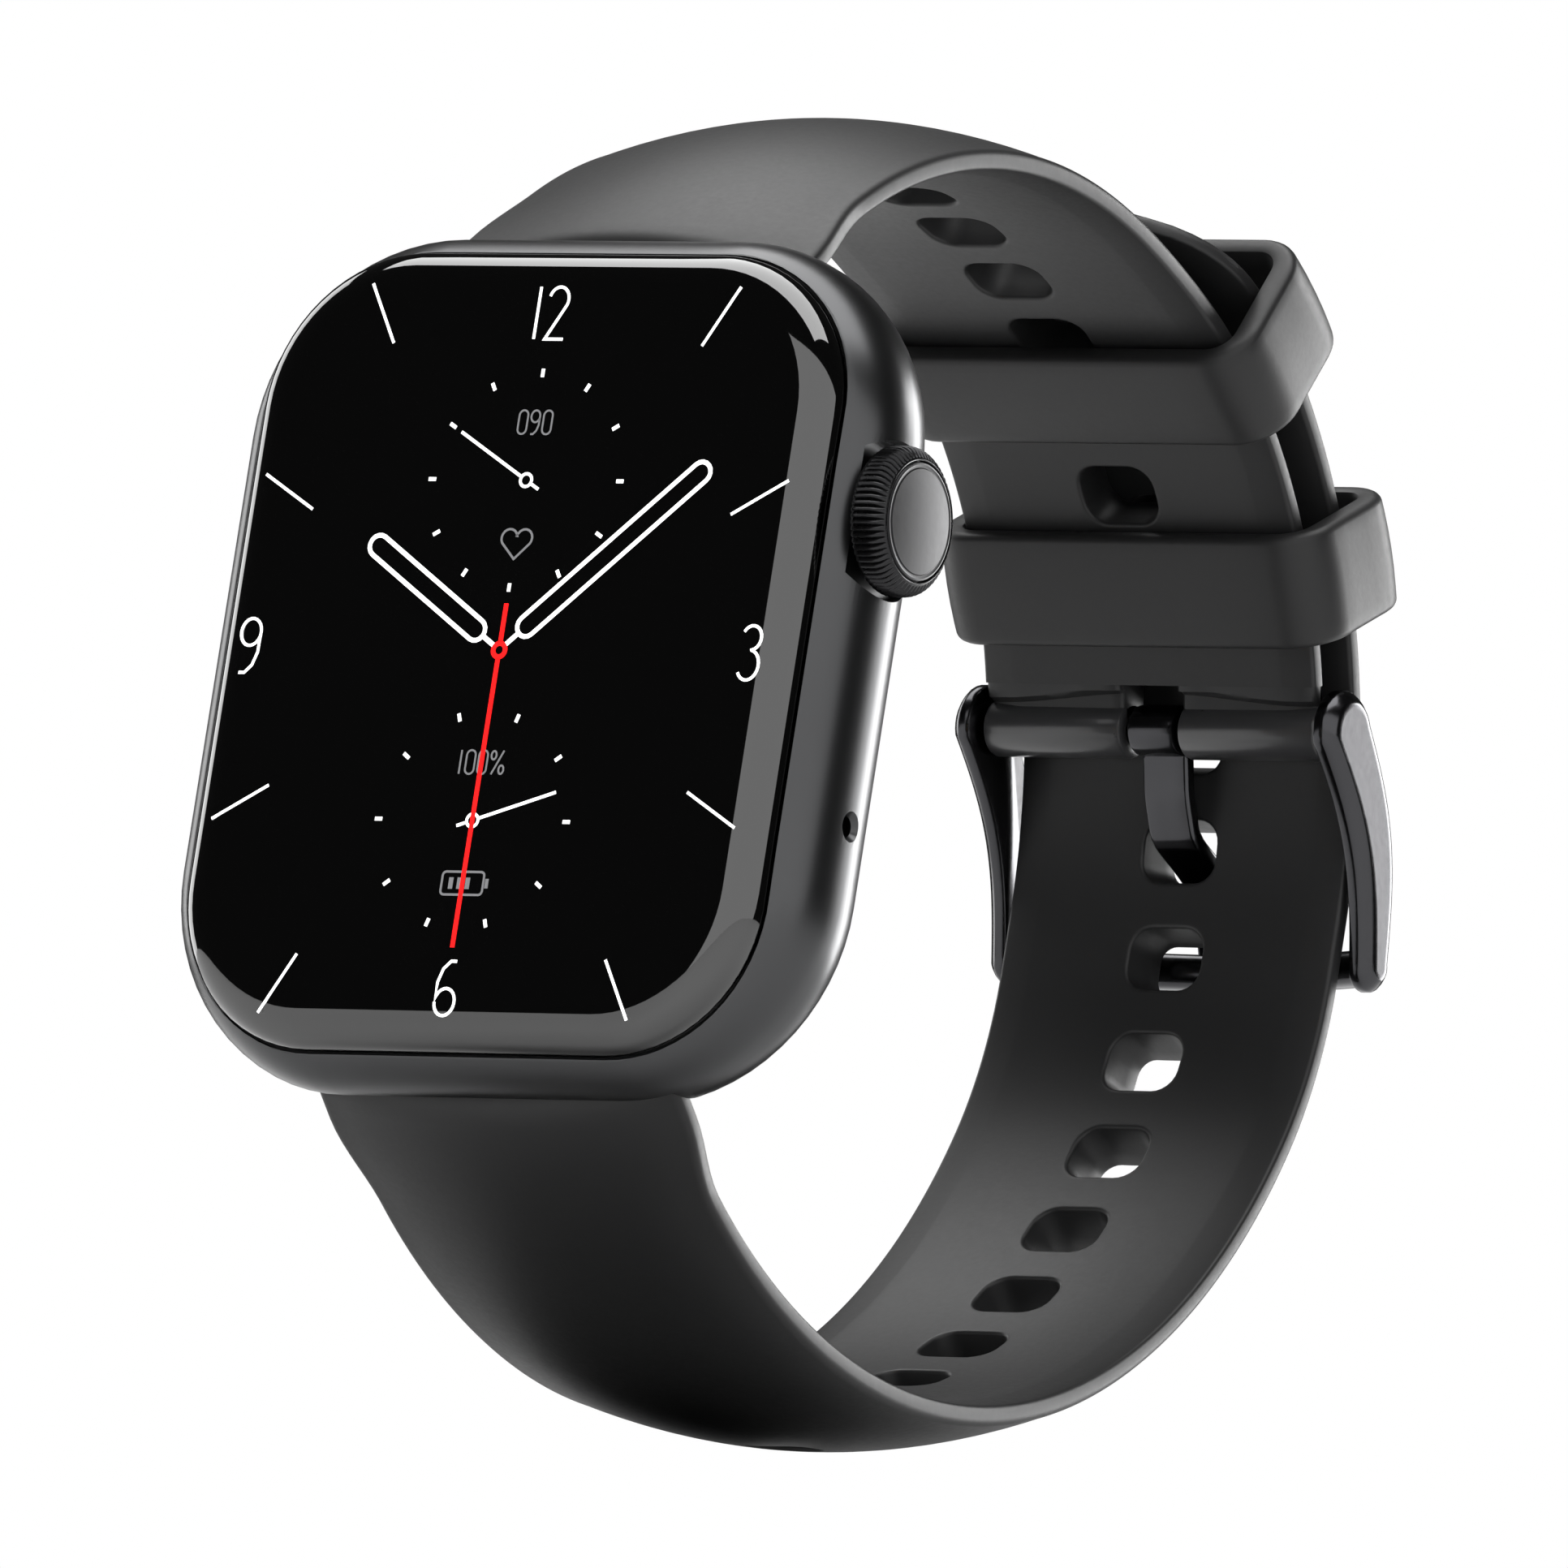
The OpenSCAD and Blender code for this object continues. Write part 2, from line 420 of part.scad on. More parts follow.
module lower_strap() color([0.09, 0.09, 0.09]) difference() {
    tail_t = join_t + up_arcs[2][1];
    union() {
        mirror([0, 0, 1]) root_block([lo_p[0], -lo_p[1]], -lo_a);
        sweep(b1, lo_arc[0], lo_a - 90, lo_arc[1]);
        sweep_in(b2, back_r, lo_end_a - 90, 90 - lo_end_a);
        translate([0, 0, low_back[1]]) linear_extrude(top_back[1] - low_back[1]) rotate(90) mirror([0, 1]) section(top_back[0], strap_w, strap_t, edge_t);
        sweep_in(b3, join_r, 0, join_t);
        sweep(c3, up_arcs[2][0] + lap, join_t, up_arcs[2][1]);
        intersection() {
            sweep(c2, up_arcs[1][0] + lap + 0.02, tail_t - 0.3, tip_t + 0.3, strap_w - 0.04, strap_t * 0.9, edge_t - 0.04);
            translate([0, c2[0], c2[1]]) rotate([tail_t + tip_t, 0, 0])
                translate([0, 0, -strap_w * 0.72]) rod_y(10, 2 * up_arcs[1][0], 0, 0, strap_w * 0.72);
        }
    }
    mirror([0, 0, 1]) latch_room();
    for (i = [-1:9]) {
        s = i * hole_pitch;                     // distance below the tongue hole
        d = tongue_z - top_back[1];             // tongue hole above the top of the straight
        l2 = back_r * (90 - lo_end_a) * PI / 180;
        flat = top_back[1] - low_back[1];
        if (s < d) punch(b3, join_r, asin(d / join_r) - s / join_r * 180 / PI);
        else if (s - d < flat) translate([0, 0, top_back[1] - (s - d)]) slab(hole_w, hole_l, 1.2, top_back[0] - 1, top_back[0] + 5);
        else if (s - d - flat < l2) punch(b2, back_r, -(s - d - flat) / back_r * 180 / PI);
        else punch(b1, lo_arc[0], lo_end_a - 90 - (s - d - flat - l2) / lo_arc[0] * 180 / PI);
    }
    // the same row of holes, carried on past the bend over the buckle
    past = 2 * hole_pitch - join_r * (join_t - asin((tongue_z - top_back[1]) / join_r)) * PI / 180;
    for (i = [0:3]) punch(c3, up_arcs[2][0] + lap, join_t + (past + i * hole_pitch) / (up_arcs[2][0] + lap) * 180 / PI);
}

// -------- buckle --------
plate_n = 12;
function mid(t) = pin + t * (bar - pin) + 1.3 * sin(180 * t) * [0.86, 0.5];
function halfw(t) = 2.25 + (bar_r + 0.35 - 2.25) * t;
dir = (bar - pin) / norm(bar - pin);
module side_plate() {
    side = [dir[1], -dir[0]];
    rotate([90, 0, 90]) linear_extrude(plate_t) {
        polygon(concat([for (i = [0:plate_n]) mid(i / plate_n) + halfw(i / plate_n) * side],
                       [for (i = [plate_n:-1:0]) mid(i / plate_n) - halfw(i / plate_n) * side]));
        translate(pin) circle(halfw(0));
        translate(bar) circle(halfw(1));
    }
}
module buckle_frame() color([0.1, 0.1, 0.11]) difference() {
    union() {
        for (x = [plate_x, -plate_x - plate_t]) translate([x, 0, 0]) side_plate();
        intersection() {
            translate([0, bar[0] + bar_rise - bar_bend, bar[1]]) rotate_extrude() translate([bar_bend, 0]) circle(bar_r, $fn = 32);
            box(-bar_half, bar_half, bar[0] - 3, bar[0] + 9, bar[1] - 3, bar[1] + 3);
        }
    }
    rod_x(-30, 30, pin[0], pin[1], pin_r + 0.01);
}
module buckle_pin() color([0.7, 0.7, 0.72]) {
    rod_x(-plate_x - plate_t + 0.1, plate_x + plate_t - 0.1, pin[0], pin[1], pin_r);
}
// tongue: eye on the pin, a step, a slanted blade through the hole and a tip on the bar
module blade(p, q, h = 0.42) {
    d = (q - p) / norm(q - p);
    s = h * [-d[1], d[0]];
    translate([-tongue_w / 2, 0, 0]) rotate([90, 0, 90]) linear_extrude(tongue_w) {
        polygon([p + s, p - s, q - s, q + s]);
        translate(p) circle(h, $fn = 24);
        translate(q) circle(h, $fn = 24);
    }
}
hole_y = top_back[0] - join_r * (1 - cos(asin((tongue_z - top_back[1]) / join_r)));
t1 = pin + [0.95, -1.1];
t2 = [hole_y - 1.75, tongue_z + 2.5];
t3 = [hole_y - 0.5, tongue_z + 0.5];
t4 = [hole_y + strap_t + 0.5, tongue_z - 0.75];
t5 = [bar_out + 0.47, bar[1] + 1.4];
t6 = [bar_out + 0.47, bar[1] - 0.7];
module buckle_tongue() color([0.12, 0.12, 0.13]) difference() {
    union() {
        rod_x(-tongue_w / 2, tongue_w / 2, pin[0], pin[1], pin_r + 0.6);
        blade(t1, t2);
        blade(t2, t3);
        blade(t3, t4);
        blade(t4, t5);
        blade(t5, t6);
    }
    rod_x(-30, 30, pin[0], pin[1], pin_r + fit);
}

// -------- keepers --------
keep_lo = 5;     // angle of the lower keeper from the end of the short strap
keep_hi = 31.3;    // angle of the upper keeper
module keeper(a) {
    r0 = up_arcs[2][0];
    r1 = r0 + lap + strap_t + 0.35;
    hw = strap_w / 2 + 0.35;
    wall = 1.5;
    translate([0, c3[0], c3[1]]) rotate([up_end_a + 90 + a + keeper_len / r0 * 90 / PI, 0, 0]) translate([0, 0, -keeper_len / 2]) linear_extrude(keeper_len) difference() {
        translate([0, (r0 - 0.35 - 1.3 + r1 + 1.3) / 2]) rr(2 * hw + 2 * wall, r1 - r0 + 0.35 + 2.6, 2.4);
        translate([0, (r0 - 0.35 + r1) / 2]) rr(2 * hw, r1 - r0 + 0.35, 1);
    }
}
module keeper_lower() color([0.1, 0.1, 0.1]) keeper(keep_lo);
module keeper_upper() color([0.1, 0.1, 0.1]) keeper(keep_hi);

case_shell();
cover_glass();
display_seal();
display_panel();
mid_plate();
main_board();
board_screws();
shield_can();
processor();
board_chips();
battery();
battery_flex();
display_flex();
haptic_case();
haptic_mass();
speaker();
speaker_cone();
speaker_mesh();
radio_module();
microphone();
microphone_mesh();
crown_bush();
crown_stem();
crown_seals();
crown_knob();
crown_cap();
switch_body();
switch_plunger();
back_seal();
back_cover();
sensor_window();
charge_coil();
sensor_board();
led_emitters();
photodiodes();
release_button_top();
release_button_bottom();
lug_latch_top();
lug_latch_bottom();
upper_strap();
lower_strap();
buckle_frame();
buckle_pin();
buckle_tongue();
keeper_upper();
keeper_lower();
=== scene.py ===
# %% [markdown]
# # A square smartwatch on a buckled silicone strap
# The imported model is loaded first: it fixes where every part is and how it moves.
# This lesson then dresses it. Each cell makes one piece or one finish, in metres, with +X at
# 3 o'clock, +Z at 12 o'clock and the display facing -Y.

# %% Load the fixed frame
import math
import bpy
import bmesh
import numpy as np
from mathutils import Matrix, Vector


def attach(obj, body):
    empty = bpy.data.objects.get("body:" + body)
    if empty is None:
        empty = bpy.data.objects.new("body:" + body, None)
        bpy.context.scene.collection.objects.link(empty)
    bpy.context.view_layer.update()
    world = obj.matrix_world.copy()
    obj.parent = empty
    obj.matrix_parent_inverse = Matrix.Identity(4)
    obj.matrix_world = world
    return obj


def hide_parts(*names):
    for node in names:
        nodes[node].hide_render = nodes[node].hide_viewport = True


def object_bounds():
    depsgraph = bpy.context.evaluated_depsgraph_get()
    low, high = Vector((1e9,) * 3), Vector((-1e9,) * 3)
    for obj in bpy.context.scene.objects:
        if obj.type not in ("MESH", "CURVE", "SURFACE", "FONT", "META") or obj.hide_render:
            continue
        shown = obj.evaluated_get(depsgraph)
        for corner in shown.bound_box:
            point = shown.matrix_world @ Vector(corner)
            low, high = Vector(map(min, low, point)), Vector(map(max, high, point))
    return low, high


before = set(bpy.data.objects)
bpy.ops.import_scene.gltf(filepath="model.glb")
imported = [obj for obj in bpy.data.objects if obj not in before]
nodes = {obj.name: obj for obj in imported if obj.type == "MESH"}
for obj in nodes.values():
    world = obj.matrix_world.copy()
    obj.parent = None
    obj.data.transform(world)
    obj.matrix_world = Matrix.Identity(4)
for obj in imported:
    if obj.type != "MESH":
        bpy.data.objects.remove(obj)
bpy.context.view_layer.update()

MM = 0.001
print("nodes:", len(nodes))

# %% [markdown]
# ## Camera
# The watch is seen from the front, a little below and from the crown side, through a long lens, so
# that near and far edges keep almost the same scale. The camera is aimed with three axes: right,
# down and forward.

# %% Place the camera
RIGHT = Vector((0.8453, 0.5126, 0.1509)).normalized()
FORWARD = Vector((-0.5342, 0.8182, 0.2128)).normalized()
DOWN = FORWARD.cross(RIGHT).normalized()
RIGHT = DOWN.cross(FORWARD).normalized()
DISTANCE = 2000.0
SIDEWAYS = 14.44
DOWNWARD = 6.79
LENS = 905.6
eye = RIGHT * SIDEWAYS + DOWN * DOWNWARD - FORWARD * DISTANCE - Vector((0, 10.9, 0.28))
cam_data = bpy.data.cameras.new("camera")
cam_data.lens = LENS
cam_data.sensor_width = 36
cam_data.clip_start = 0.1
cam_data.clip_end = 20
cam = bpy.data.objects.new("camera", cam_data)
turn = Matrix((RIGHT, -DOWN, -FORWARD)).transposed()
cam.matrix_world = Matrix.Translation(eye * MM) @ turn.to_4x4()
bpy.context.collection.objects.link(cam)
bpy.context.scene.camera = cam
bpy.context.scene.view_settings.view_transform = "Standard"
print("camera at", [round(c, 3) for c in cam.location])

# %% [markdown]
# ## Floor, surroundings and lights
# The floor is pale and plain. It shows only from above, so that a view from below it still sees
# the watch. The surroundings are white to the eye and dim to a reflection, as in a studio where
# the walls are far away, and the softboxes give every highlight.

# %% Floor
def lowest():
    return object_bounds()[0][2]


def plane(name, size, z):
    mesh = bpy.data.meshes.new(name)
    h = size / 2
    mesh.from_pydata([(-h, -h, z), (h, -h, z), (h, h, z), (-h, h, z)], [], [(0, 1, 2, 3)])
    obj = bpy.data.objects.new(name, mesh)
    bpy.context.collection.objects.link(obj)
    return obj


floor = plane("floor", 0.9, lowest() - 0.0002)
floor_mat = bpy.data.materials.new("pale_floor")
floor_mat.use_nodes = True
ft = floor_mat.node_tree
ft.nodes.clear()
f_out = ft.nodes.new("ShaderNodeOutputMaterial")
f_mix = ft.nodes.new("ShaderNodeMixShader")
f_geo = ft.nodes.new("ShaderNodeNewGeometry")
f_dif = ft.nodes.new("ShaderNodeBsdfPrincipled")
f_clear = ft.nodes.new("ShaderNodeBsdfTransparent")
f_dif.inputs["Base Color"].default_value = (0.82, 0.82, 0.82, 1)
f_dif.inputs["Roughness"].default_value = 0.8
ft.links.new(f_geo.outputs["Backfacing"], f_mix.inputs[0])
ft.links.new(f_dif.outputs[0], f_mix.inputs[1])
ft.links.new(f_clear.outputs[0], f_mix.inputs[2])
ft.links.new(f_mix.outputs[0], f_out.inputs["Surface"])
floor.data.materials.append(floor_mat)

# %% Surroundings
world = bpy.data.worlds.new("studio")
bpy.context.scene.world = world
world.use_nodes = True
wt = world.node_tree
wt.nodes.clear()
w_out = wt.nodes.new("ShaderNodeOutputWorld")
w_mix = wt.nodes.new("ShaderNodeMixShader")
w_path = wt.nodes.new("ShaderNodeLightPath")
w_dim = wt.nodes.new("ShaderNodeBackground")
w_white = wt.nodes.new("ShaderNodeBackground")
w_dim.inputs["Color"].default_value = (1, 1, 1, 1)
w_dim.inputs["Strength"].default_value = 0.03
w_white.inputs["Color"].default_value = (1, 1, 1, 1)
w_white.inputs["Strength"].default_value = 1.0
wt.links.new(w_path.outputs["Is Camera Ray"], w_mix.inputs[0])
wt.links.new(w_dim.outputs[0], w_mix.inputs[1])
wt.links.new(w_white.outputs[0], w_mix.inputs[2])
wt.links.new(w_mix.outputs[0], w_out.inputs["Surface"])

# %% Softboxes
WATCH_MID = Vector((0, 0.020, 0.002))


def softbox(name, place, wide, high, power):
    data = bpy.data.lights.new(name, "AREA")
    data.shape = "RECTANGLE"
    data.size = wide
    data.size_y = high
    data.energy = power
    obj = bpy.data.objects.new(name, data)
    obj.location = place
    aim = WATCH_MID - Vector(place)
    obj.rotation_mode = "QUATERNION"
    obj.rotation_quaternion = aim.to_track_quat("-Z", "Y")
    obj.visible_camera = False
    bpy.context.collection.objects.link(obj)
    return obj


def ring_place(azimuth, elevation, distance):
    """A spot round the watch: azimuth 0 is in front, 90 is at the crown side."""
    a, e = math.radians(azimuth), math.radians(elevation)
    way = Vector((math.sin(a) * math.cos(e), -math.cos(a) * math.cos(e), math.sin(e)))
    return WATCH_MID + distance * way


softbox("wall_front_right", ring_place(36, 10, 0.80), 1.90, 0.80, 8.0)
softbox("ceiling", ring_place(-20, 82, 0.75), 1.10, 0.62, 10.5)
softbox("strip_left", ring_place(-100, 10, 0.80), 0.35, 0.90, 3.2)
softbox("strip_right_rear", ring_place(160, 0, 0.90), 0.34, 1.10, 15.0)
softbox("edge_low_rear", ring_place(150, -38, 0.90), 0.90, 0.50, 5.0)
softbox("bounce_below", ring_place(160, -68, 0.85), 1.00, 0.40, 6.0)
softbox("fill_low_left", ring_place(-104, -46, 0.85), 0.90, 0.80, 8.0)

# %% [markdown]
# ## Finishes
# Every finish is made of noise: one broad layer that shifts the tone a little, as real coating and
# rubber do, and one fine layer for the grain that the light catches. The values say how rough,
# how metallic and how fine-grained each one is.

# %% A recipe for finishes
def finish(name, colour, rough, metal=0.0, tone=0.12, spread=90.0, grain=2200.0, bump=0.03,
           rough_var=0.05, coat=0.0, stretch=(1, 1, 1), shine=0.5):
    mat = bpy.data.materials.new(name)
    mat.use_nodes = True
    nt = mat.node_tree
    bsdf = nt.nodes["Principled BSDF"]
    coord = nt.nodes.new("ShaderNodeTexCoord")
    place = nt.nodes.new("ShaderNodeMapping")
    place.inputs["Scale"].default_value = stretch
    broad = nt.nodes.new("ShaderNodeTexNoise")
    broad.inputs["Scale"].default_value = spread
    broad.inputs["Detail"].default_value = 3
    fine = nt.nodes.new("ShaderNodeTexNoise")
    fine.inputs["Scale"].default_value = grain
    fine.inputs["Detail"].default_value = 2
    ramp = nt.nodes.new("ShaderNodeValToRGB")
    lo = [c * (1 - tone) for c in colour]
    hi = [min(1.0, c * (1 + tone)) for c in colour]
    ramp.color_ramp.elements[0].position = 0.3
    ramp.color_ramp.elements[0].color = (*lo, 1)
    ramp.color_ramp.elements[1].position = 0.7
    ramp.color_ramp.elements[1].color = (*hi, 1)
    spread_rough = nt.nodes.new("ShaderNodeMapRange")
    spread_rough.inputs["To Min"].default_value = max(0.02, rough - rough_var)
    spread_rough.inputs["To Max"].default_value = min(1.0, rough + rough_var)
    relief = nt.nodes.new("ShaderNodeBump")
    relief.inputs["Strength"].default_value = bump
    relief.inputs["Distance"].default_value = 0.0001
    nt.links.new(coord.outputs["Object"], place.inputs["Vector"])
    nt.links.new(place.outputs["Vector"], broad.inputs["Vector"])
    nt.links.new(place.outputs["Vector"], fine.inputs["Vector"])
    nt.links.new(broad.outputs["Fac"], ramp.inputs["Fac"])
    nt.links.new(ramp.outputs["Color"], bsdf.inputs["Base Color"])
    nt.links.new(fine.outputs["Fac"], spread_rough.inputs["Value"])
    nt.links.new(spread_rough.outputs["Result"], bsdf.inputs["Roughness"])
    nt.links.new(fine.outputs["Fac"], relief.inputs["Height"])
    nt.links.new(relief.outputs["Normal"], bsdf.inputs["Normal"])
    bsdf.inputs["Metallic"].default_value = metal
    bsdf.inputs["Specular IOR Level"].default_value = shine
    bsdf.inputs["Coat Weight"].default_value = coat
    bsdf.inputs["Coat Roughness"].default_value = 0.05
    return mat


# %% The finishes of this watch
CASE = finish("graphite_case", (0.062, 0.0625, 0.064), 0.30, metal=1.0, tone=0.04, bump=0.0015,
              rough_var=0.01)
CROWN = finish("black_crown", (0.022, 0.022, 0.023), 0.26, metal=0.9, tone=0.08, bump=0.03)
CROWN_CAP = finish("satin_cap", (0.020, 0.020, 0.021), 0.36, metal=1.0, tone=0.05, bump=0.03)
STRAP = finish("black_silicone", (0.0115, 0.0115, 0.0118), 0.46, tone=0.08, grain=3000, bump=0.04,
               rough_var=0.05, shine=0.30)
BUCKLE = finish("black_polished_steel", (0.050, 0.050, 0.053), 0.20, metal=1.0, tone=0.08,
                bump=0.01)
STEEL = finish("plain_steel", (0.50, 0.50, 0.52), 0.30, metal=1.0, stretch=(1, 1, 8))
CERAMIC = finish("black_ceramic", (0.020, 0.020, 0.022), 0.22, tone=0.10, bump=0.01, coat=0.4)
SEAL = finish("seal_rubber", (0.012, 0.012, 0.012), 0.70, bump=0.10)
SCREEN = finish("dark_screen", (0.0012, 0.0012, 0.0014), 0.35, bump=0.0, rough_var=0.02)
BOARD = finish("green_board", (0.015, 0.10, 0.045), 0.45, tone=0.3, spread=600)
CHIP = finish("chip_resin", (0.02, 0.02, 0.022), 0.45, tone=0.2)
FOIL = finish("battery_foil", (0.18, 0.18, 0.19), 0.38, metal=0.4, spread=300)
COPPER = finish("flex_copper", (0.55, 0.25, 0.08), 0.35, metal=0.8)
TUNGSTEN = finish("dense_metal", (0.25, 0.25, 0.26), 0.42, metal=1.0)
BRASS = finish("brass", (0.60, 0.42, 0.15), 0.25, metal=1.0)
LED = finish("led_lens", (0.30, 0.60, 0.32), 0.18, coat=0.6)
DIODE = finish("photodiode", (0.03, 0.035, 0.06), 0.15, coat=0.6)
MESH = finish("sound_mesh", (0.10, 0.10, 0.10), 0.5, metal=1.0, grain=9000, bump=0.6)


def clear_glass(name, rough):
    mat = bpy.data.materials.new(name)
    mat.use_nodes = True
    nt = mat.node_tree
    bsdf = nt.nodes["Principled BSDF"]
    bsdf.inputs["Base Color"].default_value = (0.96, 0.97, 0.98, 1)
    bsdf.inputs["Transmission Weight"].default_value = 1.0
    bsdf.inputs["IOR"].default_value = 1.50
    coord = nt.nodes.new("ShaderNodeTexCoord")
    smear = nt.nodes.new("ShaderNodeTexNoise")
    smear.inputs["Scale"].default_value = 60
    range_ = nt.nodes.new("ShaderNodeMapRange")
    range_.inputs["To Min"].default_value = 0.0
    range_.inputs["To Max"].default_value = rough
    nt.links.new(coord.outputs["Object"], smear.inputs["Vector"])
    nt.links.new(smear.outputs["Fac"], range_.inputs["Value"])
    nt.links.new(range_.outputs["Result"], bsdf.inputs["Roughness"])
    return mat


def lit(name, colour, strength):
    mat = finish(name, colour, 0.5, tone=0.03)
    bsdf = mat.node_tree.nodes["Principled BSDF"]
    ramp = mat.node_tree.nodes["Color Ramp"]
    mat.node_tree.links.new(ramp.outputs["Color"], bsdf.inputs["Emission Color"])
    bsdf.inputs["Emission Strength"].default_value = strength
    return mat


GLASS = finish("black_glass", (0.0002, 0.0002, 0.0002), 0.035, tone=0.05, bump=0.0,
               rough_var=0.01, shine=1.0)
WINDOW = clear_glass("sensor_glass_clear", 0.05)
LIT_WHITE = lit("lit_white", (0.90, 0.90, 0.90), 1.0)
LIT_GREY = lit("lit_grey", (0.13, 0.13, 0.135), 0.8)
LIT_RED = lit("lit_red", (0.85, 0.0, 0.0), 1.0)
print("finishes:", len(bpy.data.materials))

# %% [markdown]
# ## Mesh helpers
# Most pieces of a watch are lofts: the same outline is repeated at many levels and the levels
# are joined with quads. One helper turns points and faces into a shown piece that rides on its
# moving body, and one builds a loft from a stack of rings.

# %% Pieces and lofts
def piece(name, points, faces, mat, body, stands_for=(), sharp=35.0):
    mesh = bpy.data.meshes.new(name)
    spots = [tuple(float(c) * MM for c in p) for p in points]
    mesh.from_pydata(spots, [], [tuple(f) for f in faces])
    bm = bmesh.new()
    bm.from_mesh(mesh)
    bmesh.ops.remove_doubles(bm, verts=bm.verts, dist=2e-6)
    bmesh.ops.recalc_face_normals(bm, faces=bm.faces)
    bm.to_mesh(mesh)
    bm.free()
    mesh.shade_smooth()
    mesh.set_sharp_from_angle(angle=math.radians(sharp))
    mesh.materials.append(mat)
    obj = bpy.data.objects.new(name, mesh)
    bpy.context.collection.objects.link(obj)
    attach(obj, body)
    for node in stands_for:
        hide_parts(node)
    return obj


def loft(rings, close=False, cap=True):
    n = len(rings[0])
    points = [p for ring in rings for p in ring]
    faces = []
    rows = len(rings) if close else len(rings) - 1
    for i in range(rows):
        j = (i + 1) % len(rings)
        for k in range(n):
            m = (k + 1) % n
            faces.append((i * n + k, i * n + m, j * n + m, j * n + k))
    if cap and not close:
        faces.append(tuple(range(n)))
        faces.append(tuple(range((len(rings) - 1) * n, len(rings) * n)))
    return points, faces


def together(*parts):
    points = []
    faces = []
    for pts, fcs in parts:
        base = len(points)
        points += list(pts)
        faces += [tuple(i + base for i in f) for f in fcs]
    return points, faces


def rounded(hw, hh, r, corner=16, across=8, down=10):
    """Rounded rectangle as (x, z) points, the same number for every size."""
    out = []
    spots = [(hw - r, hh - r, 0, across), (-hw + r, hh - r, 90, down),
             (-hw + r, -hh + r, 180, across), (hw - r, -hh + r, 270, down)]
    for k, (cx, cz, a0, n) in enumerate(spots):
        arc = []
        for i in range(corner + 1):
            a = math.radians(a0 + 90 * i / corner)
            arc.append((cx + r * math.cos(a), cz + r * math.sin(a)))
        out += arc
        nxt = spots[(k + 1) % 4]
        b = math.radians(nxt[2])
        end = (nxt[0] + r * math.cos(b), nxt[1] + r * math.sin(b))
        for i in range(1, n):
            f = i / n
            out.append((arc[-1][0] + (end[0] - arc[-1][0]) * f,
                        arc[-1][1] + (end[1] - arc[-1][1]) * f))
    return out


def disc_rings(profile, n, centre, axis):
    """Rings of a turned piece: profile is (distance along the axis, radius)."""
    rings = []
    for d, r in profile:
        ring = []
        for k in range(n):
            a = 2 * math.pi * k / n
            u = r * math.cos(a)
            v = r * math.sin(a)
            if axis == "x":
                ring.append((centre[0] + d, centre[1] + u, centre[2] + v))
            else:
                ring.append((centre[0] + u, centre[1] + d, centre[2] + v))
        rings.append(ring)
    return rings

# %% [markdown]
# ## Case
# The real case is milled from a block of aluminium and coated dark. Its side is almost a half
# circle in section, so one strong highlight runs down it. The loft follows that section from the
# back opening, round the side, over the front rim, and down into the pocket for the glass and the
# room for the works. The openings are then cut as a milling tool would cut them.

# %% Shape of the case
HALF_W = 19.35
HALF_H = 22.5
CORNER = 11.0
SIDE_R = 4.2
Y_BACK = -1.4
Y_FRONT = -10.2
Y_GLASS = -10.9
Y_UNDER = -9.0
Y_LEDGE = -8.8
Y_FLOOR = -7.4
Y_ROOM = -2.6


def inset_of(x, z):
    """How far a point lies inside the case's outline."""
    qx = abs(x) - (HALF_W - CORNER)
    qz = abs(z) - (HALF_H - CORNER)
    outside = math.hypot(max(qx, 0), max(qz, 0))
    return CORNER - outside - min(max(qx, qz), 0)


def skin_y(x, z, front):
    d = min(max(inset_of(x, z), 0), SIDE_R)
    drop = SIDE_R - math.sqrt(max(SIDE_R ** 2 - (SIDE_R - d) ** 2, 0))
    return Y_FRONT + drop if front else Y_BACK - drop


def level(hw, hh, r, y):
    return [(x, y, z) for x, z in rounded(hw, hh, r)]


def skin_level(hw, hh, r, front, dip=0.0):
    return [(x, skin_y(x, z, front) + dip, z) for x, z in rounded(hw, hh, r)]


rings = [skin_level(16.3, 18.0, 7.2, False, -0.06), skin_level(16.38, 18.08, 7.28, False)]
for a in range(70, 0, -5):
    d = SIDE_R * (1 - math.cos(math.radians(a)))
    y = Y_BACK - SIDE_R + SIDE_R * math.sin(math.radians(a))
    if d < 2.6:
        rings.append(level(HALF_W - d, HALF_H - d, CORNER - d, y))
rings.append(level(HALF_W, HALF_H, CORNER, Y_BACK - SIDE_R))
rings.append(level(HALF_W, HALF_H, CORNER, Y_FRONT + SIDE_R))
for a in range(5, 46, 4):
    d = SIDE_R * (1 - math.cos(math.radians(a)))
    y = Y_FRONT + SIDE_R - SIDE_R * math.sin(math.radians(a))
    rings.append(level(HALF_W - d, HALF_H - d, CORNER - d, y))
rings.append(skin_level(17.60, 21.22, 8.72, True))
rings.append(skin_level(17.50, 21.14, 8.64, True, 0.03))
rings.append(skin_level(17.45, 21.10, 8.60, True, 0.10))
rings.append(level(17.45, 21.10, 8.60, Y_LEDGE))
rings.append(level(16.3, 19.95, 7.4, Y_LEDGE))
rings.append(level(16.3, 19.95, 7.4, Y_FLOOR))
rings.append(level(15.5, 17.4, 6.5, Y_FLOOR))
rings.append(level(15.5, 17.4, 6.5, Y_ROOM))
rings.append(level(16.3, 18.0, 7.2, Y_ROOM))
case = piece("case", *loft(rings, close=True), CASE, "watch", ["case_shell"], sharp=30)
print("case faces:", len(case.data.polygons))

# %% Openings of the case
LUG_Y = -4.8
LUG_Z = 20.1
LUG_R = 1.7
NECK = 1.15
CROWN_Y = -6.2
CROWN_Z = 8.0
Y_MIC = -5.8
Z_MIC = -7.9


